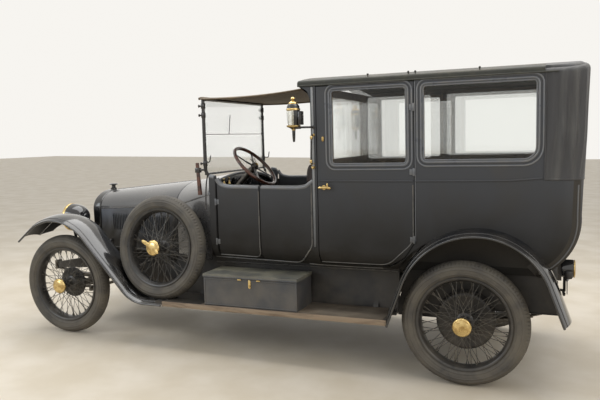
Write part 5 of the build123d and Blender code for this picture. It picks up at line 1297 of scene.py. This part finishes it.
def hood_band(lift):
    """The leather at each level: the plan outline, drawn back by the rear's lean, with upright folds whose
    depth is a sine of the distance round, strongest at the rear corners, and its upper edge turned in by a
    quarter circle."""
    turn_in = 0.036
    share = (hood_levels - hood_waist) / (plan_top - hood_waist)
    along = np.abs(plan_run - half_run)
    near_corner = np.exp(-((along - (half_run - 0.16)) / 0.13) ** 2)
    slant = plan_run + 0.03 * np.sin(share * 2.2) * np.sign(plan_run - half_run)
    fold = 0.0095 * near_corner * np.sin(slant * 2 * pi / 0.066) + 0.0016 * np.sin(slant * 37)
    fold = fold + 0.0024 * near_corner * np.sin(slant * 2 * pi / 0.031 + share * 4)
    envelope = np.sin(np.clip(share, 0, 1) * pi) ** 0.5
    push = lift + fold * envelope - 0.004 * envelope * np.cos(share * 3 * pi) * near_corner
    turned = turn_in * (1 - np.sqrt(1 - np.clip((hood_levels - plan_top + turn_in) / turn_in, 0, 1) ** 2))
    rear = np.clip((hood_front - plan[:, 0]) / 0.2, 0, 1) ** 2
    lean = rear_lean * (hood_levels - hood_waist) * rear
    x = plan[:, 0] + plan_out[:, 0] * (push - turned) - lean
    y = plan[:, 1] + plan_out[:, 1] * (push - turned)
    return gridded(x, y, hood_levels)


def light_hole(face):
    """The cells of the band that lie in the rear light's opening."""
    middle = (face[:-1, :-1] + face[1:, 1:]) / 2
    return (middle[..., 0] < -0.7) & (np.abs(middle[..., 1]) < light_half - 0.002) & (
        middle[..., 2] > light_low + 0.002) & (middle[..., 2] < light_high - 0.002)


band_face, band_back = hood_band(0.003), hood_band(0.0008)
band = plate(band_face, band_back, light_hole(band_face))
band_piece = make("hood_leather_band", band, "hood_leather", replaces=("hood",), angle=60)
light_area = 0.38 * 0.19
band_area = float((((plan_top[1:] + plan_top[:-1]) / 2 - hood_waist) * np.diff(plan_run)).sum() - light_area)
cap_edge = spaced(band_face[-1], 0.02)
cap_share = np.linspace(0, 1, 25)[:, None]


def hood_cap(drop):
    """The leather over the top: from the band's upper edge in to the roof's rear line, rising by a quarter
    parabola onto the roof's arc."""
    goal_y = np.linspace(cap_edge[0, 1], cap_edge[-1, 1], len(cap_edge))
    x = cap_edge[:, 0] + (hood_front - cap_edge[:, 0]) * cap_share
    y = cap_edge[:, 1] + (goal_y - cap_edge[:, 1]) * cap_share
    low = cap_edge[:, 2] - over_roof(cap_edge[:, 1])
    slack = low * np.clip(1 - cap_share * 8, 0, 1) ** 2
    return gridded(x, y, over_roof(y, drop - 0.001) + slack)


cap_piece = make("hood_leather_top", plate(hood_cap(0.0), hood_cap(0.0025)), "hood_leather", angle=60)
for side, y in (("left", body_half + 0.003), ("right", -(body_half + 0.003))):
    seam = gridded(hood_front - 0.004, y, np.linspace(hood_waist, 2.14, 30))
    make(f"hood_front_welt_{side}", tube(seam, 0.005, (1, 0, 0), 8), "hood_leather")
light_z = (light_low + light_high) / 2
light_x = rear_x - rear_lean * (light_z - bow_top)
light_ring = rounded(((light_half, light_low), (light_half, light_high), (-light_half, light_high),
                      (-light_half, light_low)), 0.03, 6, closed=True)
light_path = np.column_stack([light_x - rear_lean * (light_ring[:, 1] - light_z) - 0.002, light_ring])
make("rear_light_frame", sweep(light_path, oblong(0.026, 0.014, 0.005, 3), (-1, 0, 0), closed=True),
     "screen_paint")
light_pane = slab(oblong(0.37, 0.18, 0.028), -0.002, 0.002, 0.001)
make("rear_light_pane", aimed(light_pane, (light_x + 0.004, 0, light_z), (-1, 0, rear_lean), (0, 1, 0)),
     "glass")
bow_y = np.linspace(-0.66, 0.66, 40)
for k, x in enumerate((-0.54, -0.63)):
    bow_line = gridded(x, bow_y, over_roof(bow_y, 0.024))
    make(f"hood_bow_{k}", sweep(bow_line, oblong(0.03, 0.014, 0.004, 2)), "inner_wood")
lining = [hood_band(-0.012 - depth) for depth in (0.0, 0.002)]
make("hood_lining", plate(lining[0], lining[1], light_hole(lining[0])), "seat_leather", angle=60)

# Canopy: a leather sheet from the windscreen's top rail back to the roof, sagging and drawn into soft folds
rail_x, rail_z, canopy_end, canopy_rise = 2.118, 2.098, 1.15, 0.042
canopy_share = np.linspace(0, 1, 46)[:, None]
canopy_y = np.linspace(-0.6, 0.6, 60)[None]


def canopy_grid(drop):
    """Straight from rail to roof, less a parabola of sag that is deeper in the middle of the width, with
    folds along the car whose depth is a sine of y and fades at both ends."""
    x = rail_x + (canopy_end - rail_x) * canopy_share
    straight = rail_z + canopy_rise * canopy_share
    sag = 4 * canopy_share * (1 - canopy_share) * (0.02 + 0.006 * (1 - (canopy_y / 0.6) ** 2))
    folds = 0.003 * np.sin(canopy_y * 41) * np.sin(canopy_share * pi) ** 0.6
    edge = 0.01 * (np.abs(canopy_y) / 0.6) ** 24
    return gridded(x, canopy_y * (1 - 0.012 * np.sin(canopy_share * pi)),
                   straight - sag + folds - edge - drop)


canopy_piece = make("canopy_sheet", plate(canopy_grid(-0.002), canopy_grid(0.002)), "canopy_leather",
                    replaces=("canopy",), angle=60)
for side, column in (("left", -1), ("right", 0)):
    make(f"canopy_hem_{side}", tube(canopy_grid(0.0)[:, column] + (0, 0, -0.003), 0.0055, (0, 1, 0), 8),
         "canopy_leather")
front_hem = canopy_grid(0.0)[0] + (0.002, 0, -0.002)
make("canopy_front_hem", sweep(front_hem, oblong(0.014, 0.02, 0.005, 3)), "canopy_leather")


# Seats: cushions are swollen by a cloth simulation, then given their sewn channels
def read(mesh, what):
    """What each vertex holds: its place or its normal."""
    values = np.zeros(len(mesh.vertices) * 3, np.float32)
    mesh.vertices.foreach_get(what, values)
    return values.reshape(-1, 3)


def cushion(name, low, high, node, facing, channels, cap=0.024):
    """A padded block between two corners: a smaller rounded block, remeshed, blown up as cloth with each
    point's travel capped, then channels pressed along y by a narrow bell curve at each seam, and one
    subdivision."""
    low, high = np.array(low), np.array(high)
    inset, corner, cell = 0.012, 0.03, 0.013
    piece = make(name, block(low + inset, high - inset, corner), "seat_leather",
                 replaces=(node,) if node else ())
    layer = bpy.context.view_layer
    for other in bpy.context.selected_objects:
        other.select_set(False)
    layer.objects.active = piece
    remesh = piece.modifiers.new("even", "REMESH")
    remesh.mode = "VOXEL"
    remesh.voxel_size = cell
    bpy.ops.object.modifier_apply(modifier=remesh.name)
    mesh = piece.data
    before = read(mesh, "co")
    cloth = piece.modifiers.new("swell", "CLOTH")
    settings = cloth.settings
    settings.quality, settings.mass = 4, 0.3
    settings.use_pressure, settings.uniform_pressure_force = True, 4
    settings.effector_weights.gravity = 0
    cloth.collision_settings.use_collision = False
    for step in range(1, 15):
        bpy.context.scene.frame_set(step)
    swollen = piece.evaluated_get(bpy.context.evaluated_depsgraph_get())
    after = read(swollen.to_mesh(), "co")
    swollen.to_mesh_clear()
    piece.modifiers.remove(cloth)
    bpy.context.scene.frame_set(1)
    travel = after - before
    length = np.linalg.norm(travel, axis=1, keepdims=True)
    after = before + travel * np.minimum(1, cap / np.maximum(length, 1e-6))
    shape_normals = read(mesh, "normal")
    seen = np.clip((shape_normals @ unit(facing) - 0.2) / 0.5, 0, 1)
    seam_depth, seam_width, swell = 0.011, 0.009, 0.004
    pitch = (high[1] - low[1]) / channels
    phase = np.abs((after[:, 1] - low[1]) / pitch % 1 - 0.5) * 2
    sink = seam_depth * np.exp(-((1 - phase) * pitch / 2 / seam_width) ** 2) * seen
    puff = swell * np.cos(phase * pi / 2) * seen
    after = after + shape_normals * (puff - sink)[:, None]
    mesh.vertices.foreach_set("co", after.ravel().astype(np.float32))
    mesh.update()
    mesh.polygons.foreach_set("use_smooth", np.ones(len(mesh.polygons), bool))
    round_off = piece.modifiers.new("smooth", "SUBSURF")
    round_off.levels = round_off.render_levels = 1
    return piece


cushion("front_seat_cushion", (1.155, -0.575, 1.119), (1.606, 0.575, 1.232), "front_seat", (0, 0, 1), 7)
cushion("front_seat_back", (1.122, -0.575, 1.242), (1.222, 0.575, 1.566), None, (1, 0, 0), 12)
cushion("rear_seat_cushion", (-0.3, -0.545, 1.119), (0.16, 0.545, 1.242), "rear_seat", (0, 0, 1), 7)
cushion("rear_seat_back", (-0.642, -0.545, 1.252), (-0.484, 0.545, 1.802), None, (1, 0, 0.1), 12)

# CAD nodes that stay: joined up, shaded smooth but for hard edges, and painted
kept = {
    "lined_paint": "rear_body rear_door_left rear_door_right",
    "coach_paint": "front_body front_door_left front_door_right",
    "bonnet_paint": "scuttle bonnet_top_left bonnet_top_right",
    # The side leaves take the pale paint of painted reflection
    "leaf_reflection_paint": "bonnet_side_left bonnet_side_right",
    "core_metal": "radiator_core", "box_paint": "toolbox", "lid_paint": "toolbox_lid",
    "inner_wood": "division",
    "iron": "front_axle rear_axle engine knuckle_left knuckle_right", "steel": "springs tie_rod exhaust",
    "glass": "window_glass door_glass_left door_glass_right", "screen_paint": "steering_column",
}
finish_of = {name: finish_name for finish_name, names in kept.items() for name in names.split()}
for name, node in frame["nodes"].items():
    material, slot = finishes[finish_of.get(name, "chassis_paint")]
    mesh = node.data
    mesh.materials.clear()
    mesh.materials.append(material)
    if "custom_normal" in mesh.attributes:
        mesh.attributes.remove(mesh.attributes["custom_normal"])
    mesh.polygons.foreach_set("use_smooth", np.ones(len(mesh.polygons), bool))
    weld = node.modifiers.new("join", "WELD")
    weld.merge_threshold = 0.00002
    edges = node.modifiers.new("hard_edges", "EDGE_SPLIT")
    edges.split_angle = radians(26)

# Floor, light and camera
floor_mesh = bpy.data.meshes.new("floor")
floor_mesh.from_pydata([(-40, -40, 0), (40, -40, 0), (40, 40, 0), (-40, 40, 0)], [], [(0, 1, 2, 3)])
floor = bpy.data.objects.new("floor", floor_mesh)
bpy.context.scene.collection.objects.link(floor)
tree, shader = new_material("pale_floor", "floor")
mottle = between(noise(stretched(tree), 2.2, 8.0), 0.3, 0.75)
feed(blended(mottle, rgb("cdc0aa"), rgb("dbd0be")), shader.inputs["Base Color"])
feed(0.55, shader.inputs["Roughness"])
floor_mesh.materials.append(finishes["pale_floor"][0])

world = bpy.data.worlds.new("studio")
bpy.context.scene.world = world
world.use_nodes = True
tree = world.node_tree
tree.nodes.clear()
soft = new_node(tree, "Background", {"Color": (0.93, 0.96, 1.0, 1), "Strength": 0.7})
white = new_node(tree, "Background", {"Color": (0.93, 0.91, 0.87, 1), "Strength": 1.0})
path = new_node(tree, "LightPath").outputs
seen = calc("MAXIMUM", Value(path["Is Camera Ray"]),
            calc("MAXIMUM", Value(path["Is Glossy Ray"]), Value(path["Is Transmission Ray"])))
mixed = new_node(tree, "MixShader", {0: seen, 1: Value(soft.outputs[0]), 2: Value(white.outputs[0])})
new_node(tree, "OutputWorld", {0: Value(mixed.outputs[0])})

# Columns: name, place, aim, width, height, power, colour
lights = (
    ("ceiling", (0.0, -0.5, 5.2), (0, 0, 0), 7.0, 4.0, 260, (1.0, 1.0, 1.0)),
    ("front_window", (4.5, 5.0, 3.6), (0.8, 0, 1.0), 3.0, 2.4, 90, (0.86, 0.93, 1.0)),
    ("rear_window", (-5.5, 3.0, 3.4), (-1.0, 0, 1.0), 2.6, 2.4, 60, (1.0, 0.96, 0.9)),
)


def placed(name, data, spot, *axes):
    """A light or a camera at a spot, turned by its three axes."""
    thing = bpy.data.objects.new(name, data)
    turn = np.block([[np.stack(axes, -1), np.array(spot)[:, None]], [np.zeros((1, 3)), 1]])
    thing.matrix_world = Matrix(turn.tolist())
    bpy.context.scene.collection.objects.link(thing)
    return thing


for name, spot, aim, width, height, power, colour in lights:
    lamp = bpy.data.lights.new(name, "AREA")
    lamp.shape, lamp.size, lamp.size_y = "RECTANGLE", width, height
    lamp.energy, lamp.color = power, colour
    back = unit(np.array(spot) - aim)
    side = unit(np.cross((0, 1.0, 0) if abs(back[2]) > 0.9 else (0, 0, 1.0), back))
    placed(name, lamp, spot, side, np.cross(back, side), back)

yaw, pitch, tilt = radians(22.292), radians(-5.854), radians(-0.5055)
ahead = np.array((sin(yaw) * cos(pitch), -cos(yaw) * cos(pitch), sin(pitch)))
right = unit(np.cross(ahead, (0, 0, 1)))
over = np.cross(right, ahead)
camera_data = bpy.data.cameras.new("camera")
camera_data.sensor_width, camera_data.lens = 36, 38.443
camera_spot = (-2.20752, 5.1595, 1.7543)
bpy.context.scene.camera = placed("camera", camera_data, camera_spot, cos(tilt) * right + sin(tilt) * over,
                                  cos(tilt) * over - sin(tilt) * right, -ahead)
bpy.context.scene.view_settings.view_transform = "Standard"
